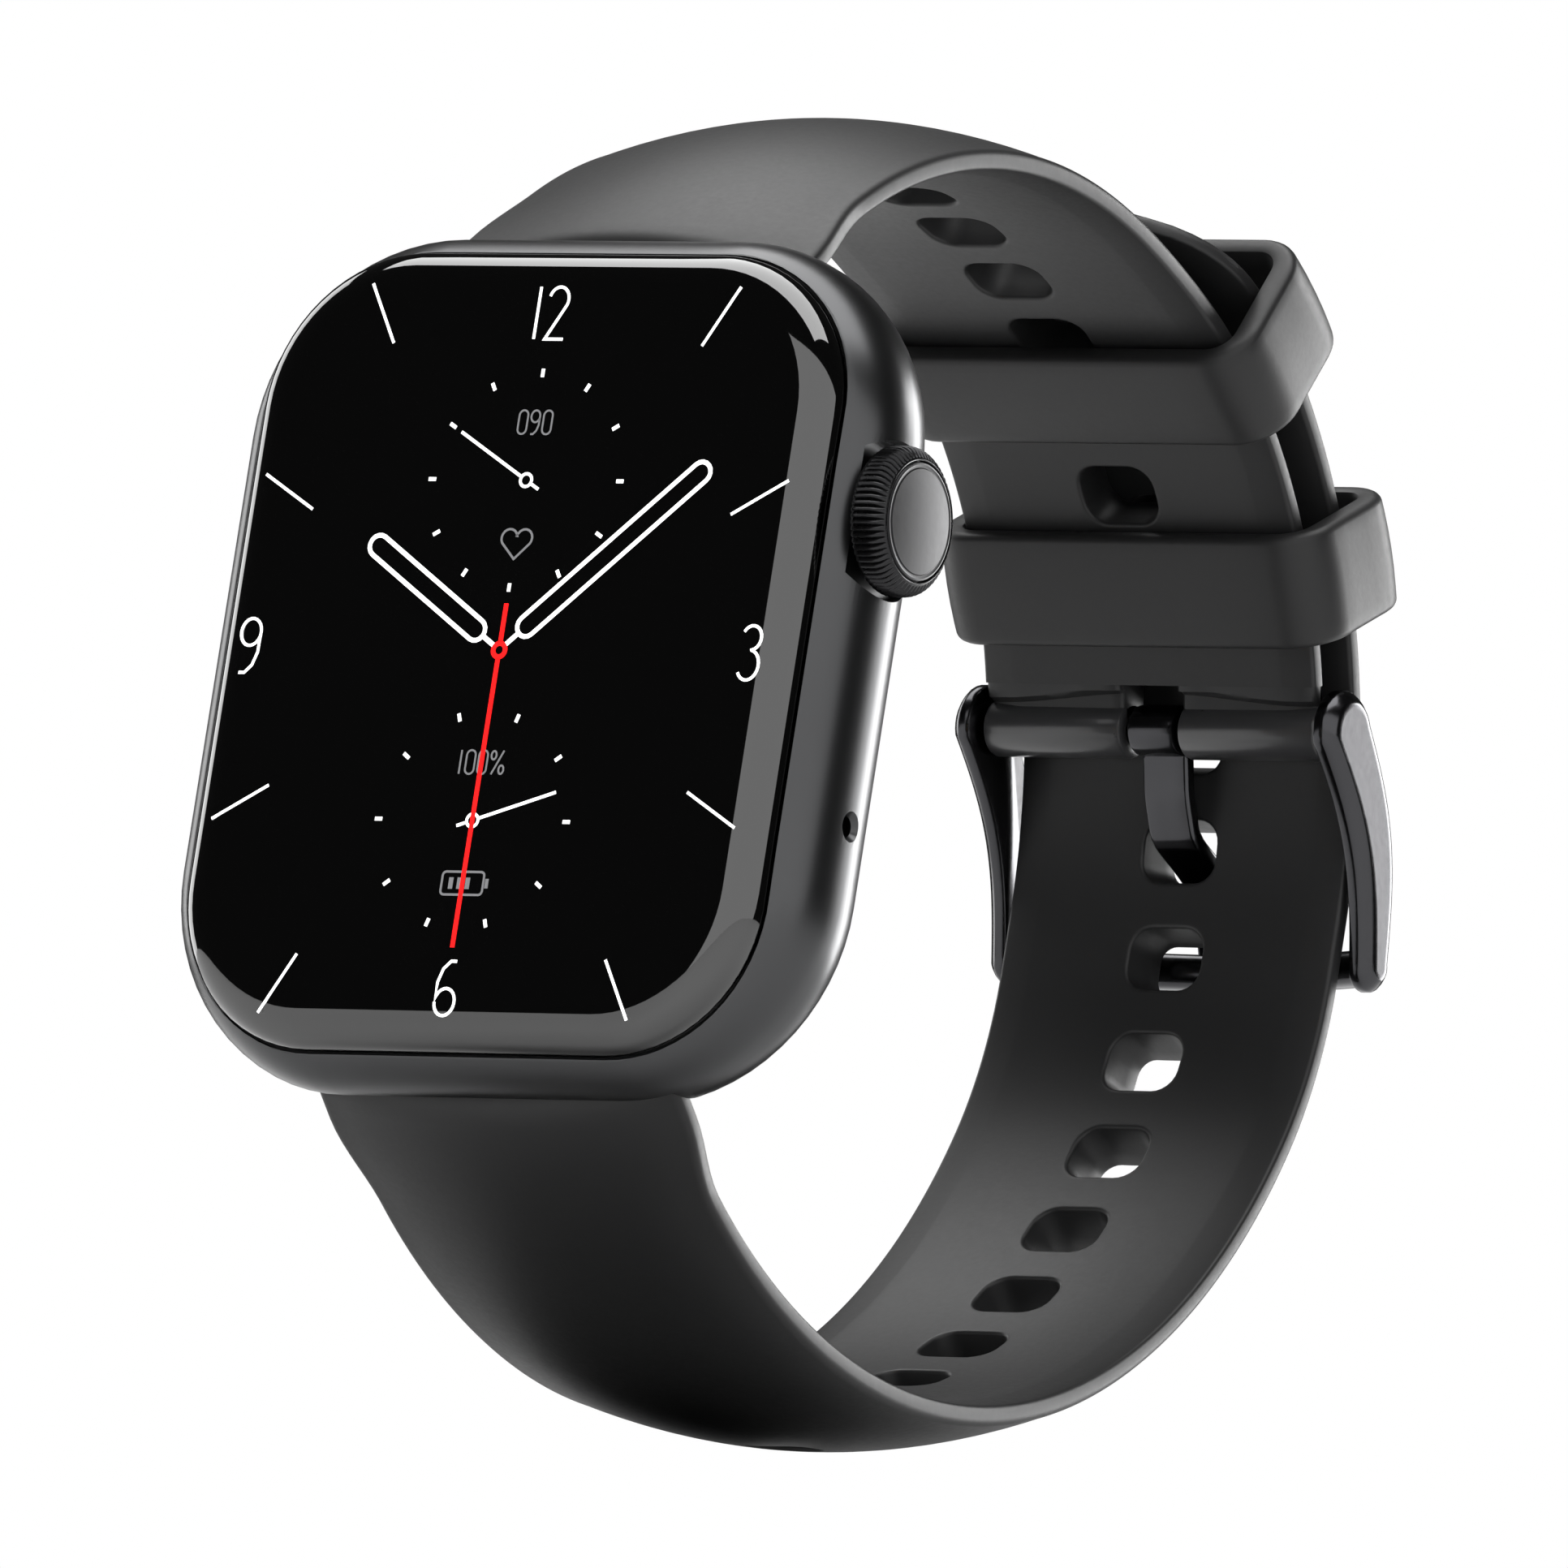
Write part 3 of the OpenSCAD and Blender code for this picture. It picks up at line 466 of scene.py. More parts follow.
def cutter(name, points, faces):
    mesh = bpy.data.meshes.new(name)
    spots = [tuple(float(c) * MM for c in p) for p in points]
    mesh.from_pydata(spots, [], [tuple(f) for f in faces])
    bm = bmesh.new()
    bm.from_mesh(mesh)
    bmesh.ops.recalc_face_normals(bm, faces=bm.faces)
    bm.to_mesh(mesh)
    bm.free()
    mesh.materials.append(CASE)
    obj = bpy.data.objects.new(name, mesh)
    bpy.context.collection.objects.link(obj)
    return obj


def cut(target, tools):
    for tool in tools:
        mod = target.modifiers.new(tool.name, "BOOLEAN")
        mod.operation = "DIFFERENCE"
        mod.solver = "EXACT"
        mod.object = tool
    deps = bpy.context.evaluated_depsgraph_get()
    made = bpy.data.meshes.new_from_object(target.evaluated_get(deps))
    target.modifiers.clear()
    old = target.data
    target.data = made
    bpy.data.meshes.remove(old)
    for tool in tools:
        data = tool.data
        bpy.data.objects.remove(tool)
        bpy.data.meshes.remove(data)


def keyhole(sign):
    """Section of a band channel: a bore with an open neck."""
    out = []
    half = NECK + 0.1
    r = LUG_R + 0.08
    a0 = math.acos(half / r)
    for i in range(41):
        a = a0 + (math.pi + (math.pi - 2 * a0)) * -i / 40
        out.append((LUG_Y + r * math.cos(a), LUG_Z + r * math.sin(a)))
    out.append((LUG_Y - half, HALF_H + 0.5))
    out.append((LUG_Y + half, HALF_H + 0.5))
    return [(y, sign * z) for y, z in out]


tools = []
for sign in (1, -1):
    sec = keyhole(sign)
    tools.append(cutter("channel", *loft([[(x, y, z) for y, z in sec] for x in (-25, 11.5)])))
    out = [(x, z + sign * LUG_Z) for x, z in rounded(2.55, 1.0, 0.98, 8, 2, 2)]
    levels = [[(x, y, z) for x, z in out] for y in (LUG_Y + 0.5, 0.5)]
    tools.append(cutter("button_slot", *loft(levels)))
tools.append(cutter("crown_seat", *loft(disc_rings(
    [(18.45, 4.1), (19.6, 4.1), (24, 4.6)], 96, (0, CROWN_Y, CROWN_Z), "x"))))
tools.append(cutter("crown_bore", *loft(disc_rings(
    [(14, 1.45), (22, 1.45)], 48, (0, CROWN_Y, CROWN_Z), "x"))))
tools.append(cutter("mic_hole", *loft(disc_rings(
    [(14, 0.55), (19.0, 0.55), (19.36, 0.80), (22, 0.80)], 40, (0, Y_MIC, Z_MIC), "x"))))
for z in (-6.2, -10.6):
    slot = rounded(1.7, 0.6, 0.59, 8, 4, 2)
    levels = [[(x, Y_MIC + v, z + u) for u, v in slot] for x in (-25, -14.4)]
    tools.append(cutter("sound_slot", *loft(levels)))
cut(case, tools)
case.data.shade_smooth()
case.data.set_sharp_from_angle(angle=math.radians(30))
print("case after cutting:", len(case.data.polygons))

# %% [markdown]
# ## Cover glass
# The cover is a thick piece of hardened glass, black behind, whose rim is ground round on the
# front side. Light only shows on that rounded rim, so the rim is made of many narrow levels.

# %% Cover glass
G_W = 17.35
G_H = 21.0
G_R = 8.5
RIM = 2.15
RIM_DEPTH = 1.75
rings = [level(G_W - 8, G_H - 8, 2.0, Y_UNDER - 0.03),
         level(G_W - 0.12, G_H - 0.12, G_R - 0.12, Y_UNDER - 0.03),
         level(G_W, G_H, G_R, Y_UNDER - 0.12)]
for i in range(0, 19):
    a = math.radians(5 * i)
    d = RIM * (1 - math.cos(a))
    y = Y_GLASS + RIM_DEPTH * (1 - math.sin(a))
    rings.append(level(G_W - d, G_H - d, G_R - d, min(y, Y_UNDER - 0.13)))
rings.append(level(G_W - RIM - 0.4, G_H - RIM - 0.4, G_R - RIM - 0.4, Y_GLASS))
rings.append(level(G_W - 8, G_H - 8, 2.0, Y_GLASS))
piece("glass", *loft(rings), GLASS, "watch", ["cover_glass"], sharp=40)

# %% [markdown]
# ## Dial
# The dial is what the display shows: thin numerals, long ticks on the hour rays, two small
# sub-dials, outlined hands and a red seconds hand. The display is bonded to the glass, so its
# marks seem to lie at the glass's own face. Each mark is a ribbon of even width laid there. The
# sub-dials carry a heart and a battery sign.

# %% Ribbons
DIAL_Y = Y_GLASS + 0.02
DIAL_Z = -0.28


def ribbon(path, width, closed=False, lift=0.032):
    pts = np.array(path, float)
    n = len(pts)
    left = []
    right = []
    for i in range(n):
        a = pts[(i - 1) % n] if closed or i > 0 else pts[i]
        b = pts[(i + 1) % n] if closed or i < n - 1 else pts[i]
        t1 = pts[i] - a
        t2 = b - pts[i]
        l1 = np.linalg.norm(t1)
        l2 = np.linalg.norm(t2)
        t1 = t1 / l1 if l1 > 0 else t2 / l2
        t2 = t2 / l2 if l2 > 0 else t1
        mid = t1 + t2
        mid = mid / max(np.linalg.norm(mid), 1e-6)
        nrm = np.array((-mid[1], mid[0]))
        stretch = 1 / max(float(np.dot(nrm, (-t1[1], t1[0]))), 0.5)
        left.append(pts[i] + nrm * width / 2 * stretch)
        right.append(pts[i] - nrm * width / 2 * stretch)
    top = [(x, DIAL_Y - lift, z + DIAL_Z) for x, z in left + right]
    bot = [(x, DIAL_Y, z + DIAL_Z) for x, z in left + right]
    points = top + bot
    faces = []
    rows = n if closed else n - 1
    for i in range(rows):
        j = (i + 1) % n
        faces.append((i, j, n + j, n + i))
        faces.append((2 * n + i, 3 * n + i, 3 * n + j, 2 * n + j))
        faces.append((i, 2 * n + i, 2 * n + j, j))
        faces.append((n + i, n + j, 3 * n + j, 3 * n + i))
    if not closed:
        faces.append((0, n, 3 * n, 2 * n))
        faces.append((n - 1, 3 * n - 1, 4 * n - 1, 2 * n - 1))
    return points, faces


def arc(cx, cz, rx, rz, a0, a1, n=14):
    return [(cx + rx * math.cos(math.radians(a0 + (a1 - a0) * i / n)),
             cz + rz * math.sin(math.radians(a0 + (a1 - a0) * i / n))) for i in range(n + 1)]

# %% Numerals
# Each numeral is drawn in a box one unit high and about half a unit wide.
GLYPH_W = 0.42
RING0 = arc(0.21, 0.79, 0.21, 0.21, 0, 180, 12) + arc(0.21, 0.21, 0.21, 0.21, 180, 360, 12)
STROKES = {
    "0": [(RING0, True)],
    "1": [([(0.10, 1.0), (0.10, 0.0)], False)],
    "2": [(arc(0.21, 0.76, 0.21, 0.24, 165, -25, 14) + [(0.02, 0.0), (0.42, 0.0)], False)],
    "3": [(arc(0.20, 0.775, 0.20, 0.225, 150, -80, 14)
           + arc(0.20, 0.275, 0.22, 0.275, 80, -150, 16), False)],
    "6": [([(0.36, 1.0), (0.24, 1.0), (0.10, 0.86), (0.02, 0.62)]
           + arc(0.22, 0.25, 0.21, 0.25, 168, -180, 22), False)],
    "9": [([(0.06, 0.0), (0.18, 0.0), (0.32, 0.14), (0.40, 0.38)]
           + arc(0.20, 0.75, 0.21, 0.25, -12, 340, 22), False)],
    "%": [(arc(0.12, 0.80, 0.12, 0.18, 0, 345, 12), True),
          (arc(0.55, 0.20, 0.12, 0.18, 0, 345, 12), True),
          ([(0.58, 1.0), (0.10, 0.0)], False)],
}
WIDE = {"1": 0.20, "%": 0.68}


def number(text, cx, cz, high, stroke, spacing=0.17):
    total = sum(WIDE.get(c, GLYPH_W) for c in text) + spacing * (len(text) - 1)
    x = cx - total * high / 2
    out = []
    for c in text:
        for path, closed in STROKES[c]:
            line = [(x + px * high, cz + (pz - 0.5) * high) for px, pz in path]
            out.append(ribbon(line, stroke, closed))
        x += (WIDE.get(c, GLYPH_W) + spacing) * high
    return out


parts = number("12", -0.15, 17.75, 2.75, 0.16, 0.12)
parts += number("3", 15.05, 0.05, 2.85, 0.16)
parts += number("6", 0.0, -17.75, 2.85, 0.16)
parts += number("9", -15.1, 0.05, 2.85, 0.16)
piece("dial_numerals", *together(*parts), LIT_WHITE, "watch")

# %% Hour ticks
parts = []
for hour in (1, 2, 4, 5, 7, 8, 10, 11):
    a = math.radians(90 - 30 * hour)
    r1, r0 = (22.19, 18.58) if hour in (1, 5, 7, 11) else (18.18, 14.55)
    ray = (math.cos(a), math.sin(a))
    parts.append(ribbon([(ray[0] * r0, ray[1] * r0), (ray[0] * r1, ray[1] * r1)], 0.16))
piece("dial_ticks", *together(*parts), LIT_WHITE, "watch")

# %% Sub-dials
SUB_Z = 8.94
SUB_R = 5.65
parts = []
for i in range(12):
    a = math.radians(30 * i)
    parts.append(ribbon([((SUB_R - 0.22) * math.sin(a), SUB_Z + (SUB_R - 0.22) * math.cos(a)),
                         ((SUB_R + 0.22) * math.sin(a), SUB_Z + (SUB_R + 0.22) * math.cos(a))], 0.20))
for i in range(10):
    a = math.radians(36 * i + 36 * 0.5)
    parts.append(ribbon([((SUB_R - 0.22) * math.sin(a), -SUB_Z + (SUB_R - 0.22) * math.cos(a)),
                         ((SUB_R + 0.22) * math.sin(a), -SUB_Z + (SUB_R + 0.22) * math.cos(a))], 0.20))
for z, deg, length in ((SUB_Z, -60, 5.0), (-SUB_Z, 72, 5.0)):
    a = math.radians(deg)
    ux, uz = math.sin(a), math.cos(a)
    parts.append(ribbon(arc(0, z, 0.34, 0.34, 0, 340, 16), 0.16, True))
    parts.append(ribbon([(ux * 0.42, z + uz * 0.42), (ux * length, z + uz * length)], 0.17))
    parts.append(ribbon([(-ux * 0.42, z - uz * 0.42), (-ux * 0.95, z - uz * 0.95)], 0.17))
piece("sub_dial_marks", *together(*parts), LIT_WHITE, "watch")
parts = number("090", 0.0, SUB_Z + 3.05, 1.25, 0.10)
parts += number("100%", 0.0, -SUB_Z + 3.05, 1.25, 0.10)
heart = [(0, -0.85)] + arc(0.45, 0.25, 0.47, 0.47, -35, 165, 10)
heart += arc(-0.45, 0.25, 0.47, 0.47, 15, 215, 10)
parts.append(ribbon([(x, SUB_Z - 3.3 + z) for x, z in heart], 0.12, True))
cell = [(x, -SUB_Z - 3.3 + z) for x, z in rounded(1.25, 0.6, 0.2, 3, 1, 1)]
parts.append(ribbon(cell, 0.12, True))
parts.append(ribbon([(1.45, -SUB_Z - 3.55), (1.45, -SUB_Z - 3.05)], 0.2))
for x in (-0.7, -0.2, 0.3):
    parts.append(ribbon([(x, -SUB_Z - 3.6), (x, -SUB_Z - 3.0)], 0.26))
piece("sub_dial_values", *together(*parts), LIT_GREY, "watch")

# %% Hands
def bar_hand(tip, start, half):
    """An outlined bar with round ends on a thin neck that starts at the centre."""
    length = math.hypot(*tip)
    a = math.atan2(tip[1], tip[0])
    c, s = math.cos(a), math.sin(a)
    loop = arc(start + half, 0, half, half, 90, 270, 8)
    loop += arc(length - half, 0, half, half, -90, 90, 8)
    out = [(x * c - z * s, x * s + z * c) for x, z in loop]
    return [ribbon(out, 0.24, True), ribbon([(0.35 * c, 0.35 * s), (start * c, start * s)], 0.26)]


piece("hour_hand", *together(*bar_hand((-8.7, 5.7), 1.35, 0.56)), LIT_WHITE, "watch")
piece("minute_hand", *together(*bar_hand((10.85, 9.83), 1.35, 0.56)), LIT_WHITE, "watch")
parts = [ribbon(arc(0, 0, 0.36, 0.36, 0, 340, 18), 0.26, True, 0.037),
         ribbon([(0, -0.45), (0, -15.6)], 0.26, False, 0.037),
         ribbon([(0, 0.45), (0, 2.45)], 0.26, False, 0.037)]
piece("seconds_hand", *together(*parts), LIT_RED, "watch")
print("dial pieces laid at y =", DIAL_Y, "mm")

# %% [markdown]
# ## Crown
# The crown is a knurled ring with a satin cap set into it. The knurl is cut by a wheel that
# presses 68 grooves into the rim. Here the radius of each ring of points dips 68 times, and the
# dips fade toward the rounded rims.

# %% Crown ring
KNURLS = 68
CROWN_X0 = 18.85
PER = 8


def knurled(profile):
    rings = []
    n = KNURLS * PER
    for d, r, depth in profile:
        ring = []
        for k in range(n):
            phase = (k % PER) / PER
            dip = depth * (1 - abs(2 * phase - 1)) ** 1.6
            a = 2 * math.pi * k / n
            ring.append((CROWN_X0 + d, CROWN_Y + (r - dip) * math.cos(a),
                         CROWN_Z + (r - dip) * math.sin(a)))
        rings.append(ring)
    return rings


# Each row of the profile is (distance along the axis, radius, depth of the groove).
profile = [(0.70, 0.82, 0), (0.0, 0.82, 0), (0.0, 3.20, 0), (0.05, 3.40, 0.05), (0.14, 3.60, 0.14),
           (0.30, 3.77, 0.20), (0.46, 3.84, 0.22), (0.62, 3.85, 0.22), (0.90, 3.85, 0.22),
           (1.16, 3.85, 0.22), (1.34, 3.83, 0.22), (1.52, 3.76, 0.22), (1.68, 3.64, 0.21),
           (1.80, 3.50, 0.19), (1.88, 3.38, 0.14), (1.93, 3.30, 0.06), (1.95, 3.26, 0),
           (1.99, 3.22, 0), (2.01, 3.16, 0), (1.99, 3.11, 0), (1.90, 3.08, 0), (1.72, 3.07, 0),
           (1.70, 3.00, 0), (1.70, 0.82, 0)]
piece("crown_ring", *loft(knurled(profile), close=True), CROWN, "crown", ["crown_knob"], sharp=32)

# %% Crown cap
CAP_R = 2.68
dome = [(1.70, 0.3), (1.70, 3.02), (1.98, 3.02), (2.03, 2.98), (2.05, 2.90), (2.03, 2.82),
        (2.03, 2.74), (2.08, CAP_R)]
for i in range(1, 9):
    r = CAP_R * (1 - i / 9)
    dome.append((2.20 - 0.12 * (r / CAP_R) ** 2, r))
rows = [(CROWN_X0 + d, r) for d, r in dome]
piece("crown_face", *loft(disc_rings(rows, 96, (0, CROWN_Y, CROWN_Z), "x")),
      CROWN_CAP, "crown", ["crown_cap"], sharp=25)
print("crown made")

# %% [markdown]
# ## Strap run
# Both straps are moulded flat and then bent round the wrist. So each one is laid out here as a
# flat piece, with a position s along it, x across it and h above its inner face, and then
# carried onto a run of arcs that leaves the case, meets behind the wrist and closes the loop.

# %% Runs of arcs
class Run:
    """Arcs given as (radius, turn in degrees); radius 0 means a straight of that length."""

    def __init__(self, start, heading, arcs, side):
        self.side = side
        self.legs = []
        p = np.array(start, float)
        a = math.radians(heading)
        s = 0.0
        for radius, amount in arcs:
            length = radius * math.radians(amount) if radius else amount
            self.legs.append((s, length, p.copy(), a, radius))
            p, a = self.step(p, a, radius, length)
            s += length
        self.length = s

    def step(self, p, a, radius, along):
        if not radius:
            return p + along * np.array((math.cos(a), math.sin(a))), a
        t = self.side * along / radius
        move = np.array((math.sin(a + t) - math.sin(a), math.cos(a) - math.cos(a + t)))
        return p + self.side * radius * move, a + t

    def at(self, s):
        leg = self.legs[0]
        for item in self.legs:
            if s >= item[0]:
                leg = item
        s0, length, p, a, radius = leg
        inside = min(max(s - s0, 0.0), length)
        p, a = self.step(p, a, radius, inside)
        extra = (s - s0) - inside
        t = np.array((math.cos(a), math.sin(a)))
        n = -self.side * np.array((-t[1], t[0]))
        return p + extra * t, t, n

    def place(self, s, x, h):
        p, t, n = self.at(s)
        q = p + h * n
        return (x, q[0], q[1])


UPPER = Run((-2.9, 22.1), 48, [(31.5, 61.5), (57.5, 6.5), (26.5, 49)], -1)
LOWER = Run((-2.6, -22.1), -39, [(36.4, 104.5), (22.931, 24.5), (0, 2.907), (34.0, 21), (30.2, 49),
                                 (61.2, 3.3)], 1)
print("upper strap", round(UPPER.length, 1), "mm, lower strap", round(LOWER.length, 1), "mm")

# %% [markdown]
# ## Strap body
# The section has a flat inner face with a shallow bevel along each edge, thin side faces, and an
# outer face that swells toward the middle. Around each hole the mesh is a ring of quads that
# leads from the hole's rounded rim out to the plain rows, so the rim can be a true fillet.

# %% Section and cells
STRAP_W = 20.2
STRAP_T = 2.85
EDGE_T = 1.2
HOLE_W = 4.4
HOLE_L = 3.3
HOLE_R = 1.2
CORE = 3.7
RIM_R = 0.20


def ease(v):
    v = min(max(v, 0.0), 1.0)
    return v * v * (3 - 2 * v)


class Strap:
    def __init__(self, run, tip=0.0):
        self.run = run
        self.tip = tip

    def half(self, s):
        wide = STRAP_W / 2 + 0.8 * (1 - ease(s / 5.5))
        if self.tip:
            f = (s - (self.run.length - self.tip)) / self.tip
            if f > 0:
                wide *= max(1 - f ** 2.6, 0.0) ** (1 / 2.6)
        return wide

    def thick(self, s):
        t = STRAP_T
        if s < 0:
            p, _, n = self.run.at(s)
            t = min(t, (5.93 + p[0]) / -n[0])
        if self.tip:
            t -= 0.95 * ease((s - self.run.length + 11) / 9)
        return t

    def edge(self, s):
        e = EDGE_T
        if self.tip:
            e -= 0.25 * ease((s - self.run.length + 11) / 9)
        return min(e, 0.6 * self.thick(s))

    def outer(self, s, x):
        u = min(abs(x) / self.half(s), 1) if self.half(s) > 0 else 1
        return self.thick(s) - (self.thick(s) - self.edge(s)) * u ** 2

    def inner(self, s, x):
        w = max(self.half(s), 0.1)
        return 0.25 * min(max((abs(x) - (w - 1.9)) / 1.9, 0), 1)

    def squeeze(self, s):
        return min(1.0, self.half(s) / (STRAP_W / 2))

    def side_points(self, s):
        """(x, h) from the outer face, round the edge, to the inner face."""
        w = self.half(s)
        k = self.squeeze(s)
        ro = 0.42 * min(1, k * 2)
        ri = 0.22 * min(1, k * 2)
        x0 = CORE * k
        out = []
        for f in (0, 0.17, 0.34, 0.51, 0.68, 0.84, 1):
            x = x0 + (w - ro - x0) * f
            out.append((x, self.outer(s, x)))
        top = self.outer(s, w - ro)
        for a in (22, 45, 68, 90):
            r = math.radians(a)
            out.append((w - ro + ro * math.sin(r), top - ro + ro * math.cos(r)))
        low = self.inner(s, w - ri)
        for a in (90, 60, 30, 0):
            r = math.radians(a)
            out.append((w - ri + ri * math.sin(r), low + ri - ri * math.cos(r)))
        crease = max(w - 1.9, x0 + 0.3)
        for x in (crease + 1.0, crease + 0.10, crease - 0.10, crease - 0.8, x0):
            x = min(x, w - ri) if x > x0 else x0
            out.append((x, self.inner(s, x)))
        return out


CELL_N = 10
CELL_S = 8


def hole_loop(grow):
    """Points of the hole's outline, grown outward, starting in the (-x, -s) corner."""
    hw, hl, r = HOLE_W / 2 + grow, HOLE_L / 2 + grow, HOLE_R + grow
    spots = [(-hw + r, -hl + r, 180), (hw - r, -hl + r, 270),
             (hw - r, hl - r, 0), (-hw + r, hl - r, 90)]
    straights = [4, 2, 4, 2]
    pts = []
    for k, (cx, cs, a0) in enumerate(spots):
        arc_pts = [(cx + r * math.cos(math.radians(a0 + 15 * i)),
                    cs + r * math.sin(math.radians(a0 + 15 * i)))
                   for i in range(7)]
        nxt = spots[(k + 1) % 4]
        b = math.radians(nxt[2])
        end = (nxt[0] + r * math.cos(b), nxt[1] + r * math.sin(b))
        pts += arc_pts
        for i in range(1, straights[k]):
            f = i / straights[k]
            pts.append((arc_pts[-1][0] + (end[0] - arc_pts[-1][0]) * f,
                        arc_pts[-1][1] + (end[1] - arc_pts[-1][1]) * f))
    return pts[3:] + pts[:3]


def cell_loop(half_len):
    pts = [(-CORE + 2 * CORE * i / CELL_N, -half_len) for i in range(CELL_N)]
    pts += [(CORE, -half_len + 2 * half_len * i / CELL_S) for i in range(CELL_S)]
    pts += [(CORE - 2 * CORE * i / CELL_N, half_len) for i in range(CELL_N)]
    pts += [(-CORE, half_len - 2 * half_len * i / CELL_S) for i in range(CELL_S)]
    return pts


def strap_mesh(strap, s0, s1, holes, pitch, taper=0.0):
    place = strap.run.place
    stops = [s0]
    for h in holes:
        stops += [h - pitch / 2, h + pitch / 2]
    stops.append(s1)
    points = []
    faces = []

    def add(grid, wrap):
        base = len(points)
        n = len(grid[0])
        for row in grid:
            points.extend(row)
        for i in range(len(grid) - 1):
            for k in range(n if wrap else n - 1):
                m = (k + 1) % n
                faces.append((base + i * n + k, base + i * n + m,
                              base + (i + 1) * n + m, base + (i + 1) * n + k))

    rows = []
    for i in range(0, len(stops) - 1):
        a, b = stops[i], stops[i + 1]
        if b - a < 1e-6:
            continue
        holed = i % 2 == 1
        if holed:
            cuts = [a + (b - a) * k / CELL_S for k in range(CELL_S + 1)]
        else:
            count = max(2, round((b - a) / 0.75))
            cuts = [a + (b - a) * k / count for k in range(count + 1)]
        rows += [c for c in cuts if not rows or c > rows[-1] + 1e-6]
        if holed:
            mid = (a + b) / 2
            for face, sign, draw_in in ((strap.outer, -1, taper), (strap.inner, 1, 0.0)):
                grid = []
                for grow in (0.0, 0.02, 0.06, 0.12, RIM_R, 0.30):
                    drop = RIM_R - math.sqrt(max(RIM_R ** 2 - max(RIM_R - grow, 0) ** 2, 0))
                    loop = hole_loop(grow - draw_in)
                    grid.append([place(mid + v, u, face(mid + v, u) + sign * drop) for u, v in loop])
                outline = cell_loop(pitch / 2)
                near = hole_loop(0.30 - draw_in)
                for f in (0.5, 1.0):
                    ring = [(u0 + (u1 - u0) * f, v0 + (v1 - v0) * f)
                            for (u0, v0), (u1, v1) in zip(near, outline)]
                    grid.append([place(mid + v, u, face(mid + v, u)) for u, v in ring])
                add(grid, True)
            wall = []
            for f in (0.0, 0.33, 0.67, 1.0):
                wall.append([place(mid + v, u, (strap.outer(mid + v, u) - RIM_R) * (1 - f)
                                   + (strap.inner(mid + v, u) + RIM_R) * f)
                             for u, v in hole_loop(-taper * (1 - f))])
            add(wall, True)
        else:
            for face in (strap.outer, strap.inner):
                across = [-CORE + 2 * CORE * k / CELL_N for k in range(CELL_N + 1)]
                add([[place(c, x * strap.squeeze(c), face(c, x * strap.squeeze(c))) for x in across]
                     for c in cuts], False)
    for sign in (1, -1):
        add([[place(c, sign * x, h) for x, h in strap.side_points(c)] for c in rows], False)
    for c in (s0, s1):
        k = strap.squeeze(c)
        xs = [CORE * k - 2 * CORE * k * i / CELL_N for i in range(1, CELL_N)]
        side = strap.side_points(c)
        ring = [place(c, x, h) for x, h in side]
        ring += [place(c, x, strap.inner(c, x)) for x in xs]
        ring += [place(c, -x, h) for x, h in reversed(side)]
        ring += [place(c, -x, strap.outer(c, x)) for x in xs]
        base = len(points)
        points.extend(ring)
        faces.append(tuple(range(base, base + len(ring))))
    return points, faces


# %% [markdown]
# ## Upper strap
# The short strap ends in a tube round the buckle's pin. The tube is split by a notch in the
# middle, where the tongue's eye sits on the same pin, and the strap sinks into a shallow dish
# above the notch.

# %% Upper strap
PIN = np.array((51.938, 12.518))
TUBE_R = 1.5
upper = Strap(UPPER)
VENT_PITCH = 5.25
VENT_START = 10.4
ROOT = -3.0
vents = sorted(UPPER.length - (VENT_START + VENT_PITCH * i) for i in range(6))
body_mesh = strap_mesh(upper, ROOT, UPPER.length, vents, VENT_PITCH)
LATCH_HALF = 1.85
LATCH_FLOOR = -0.9


def lug(sign):
    """Bar that slides in the case, cut away in the middle where the latch and its button move."""
    end = LUG_R - 0.12
    stops = [(end, -11.7), (LUG_R, -11.55), (LUG_R, -LATCH_HALF - 0.01), (LUG_R, -LATCH_HALF),
             (LUG_R, LATCH_HALF), (LUG_R, LATCH_HALF + 0.01), (LUG_R, 11.55), (end, 11.7)]
    chord = math.sqrt(LUG_R ** 2 - LATCH_FLOOR ** 2)
    rings = []
    for r, x in stops:
        ring = []
        for k in range(40):
            y = r * math.cos(2 * math.pi * k / 40)
            z = r * math.sin(2 * math.pi * k / 40)
            if abs(x) <= LATCH_HALF and y > LATCH_FLOOR:
                y = LATCH_FLOOR
                z = min(max(z, -chord), chord)
            ring.append((x, LUG_Y + y, sign * (LUG_Z + z)))
        rings.append(ring)
    return loft(rings)


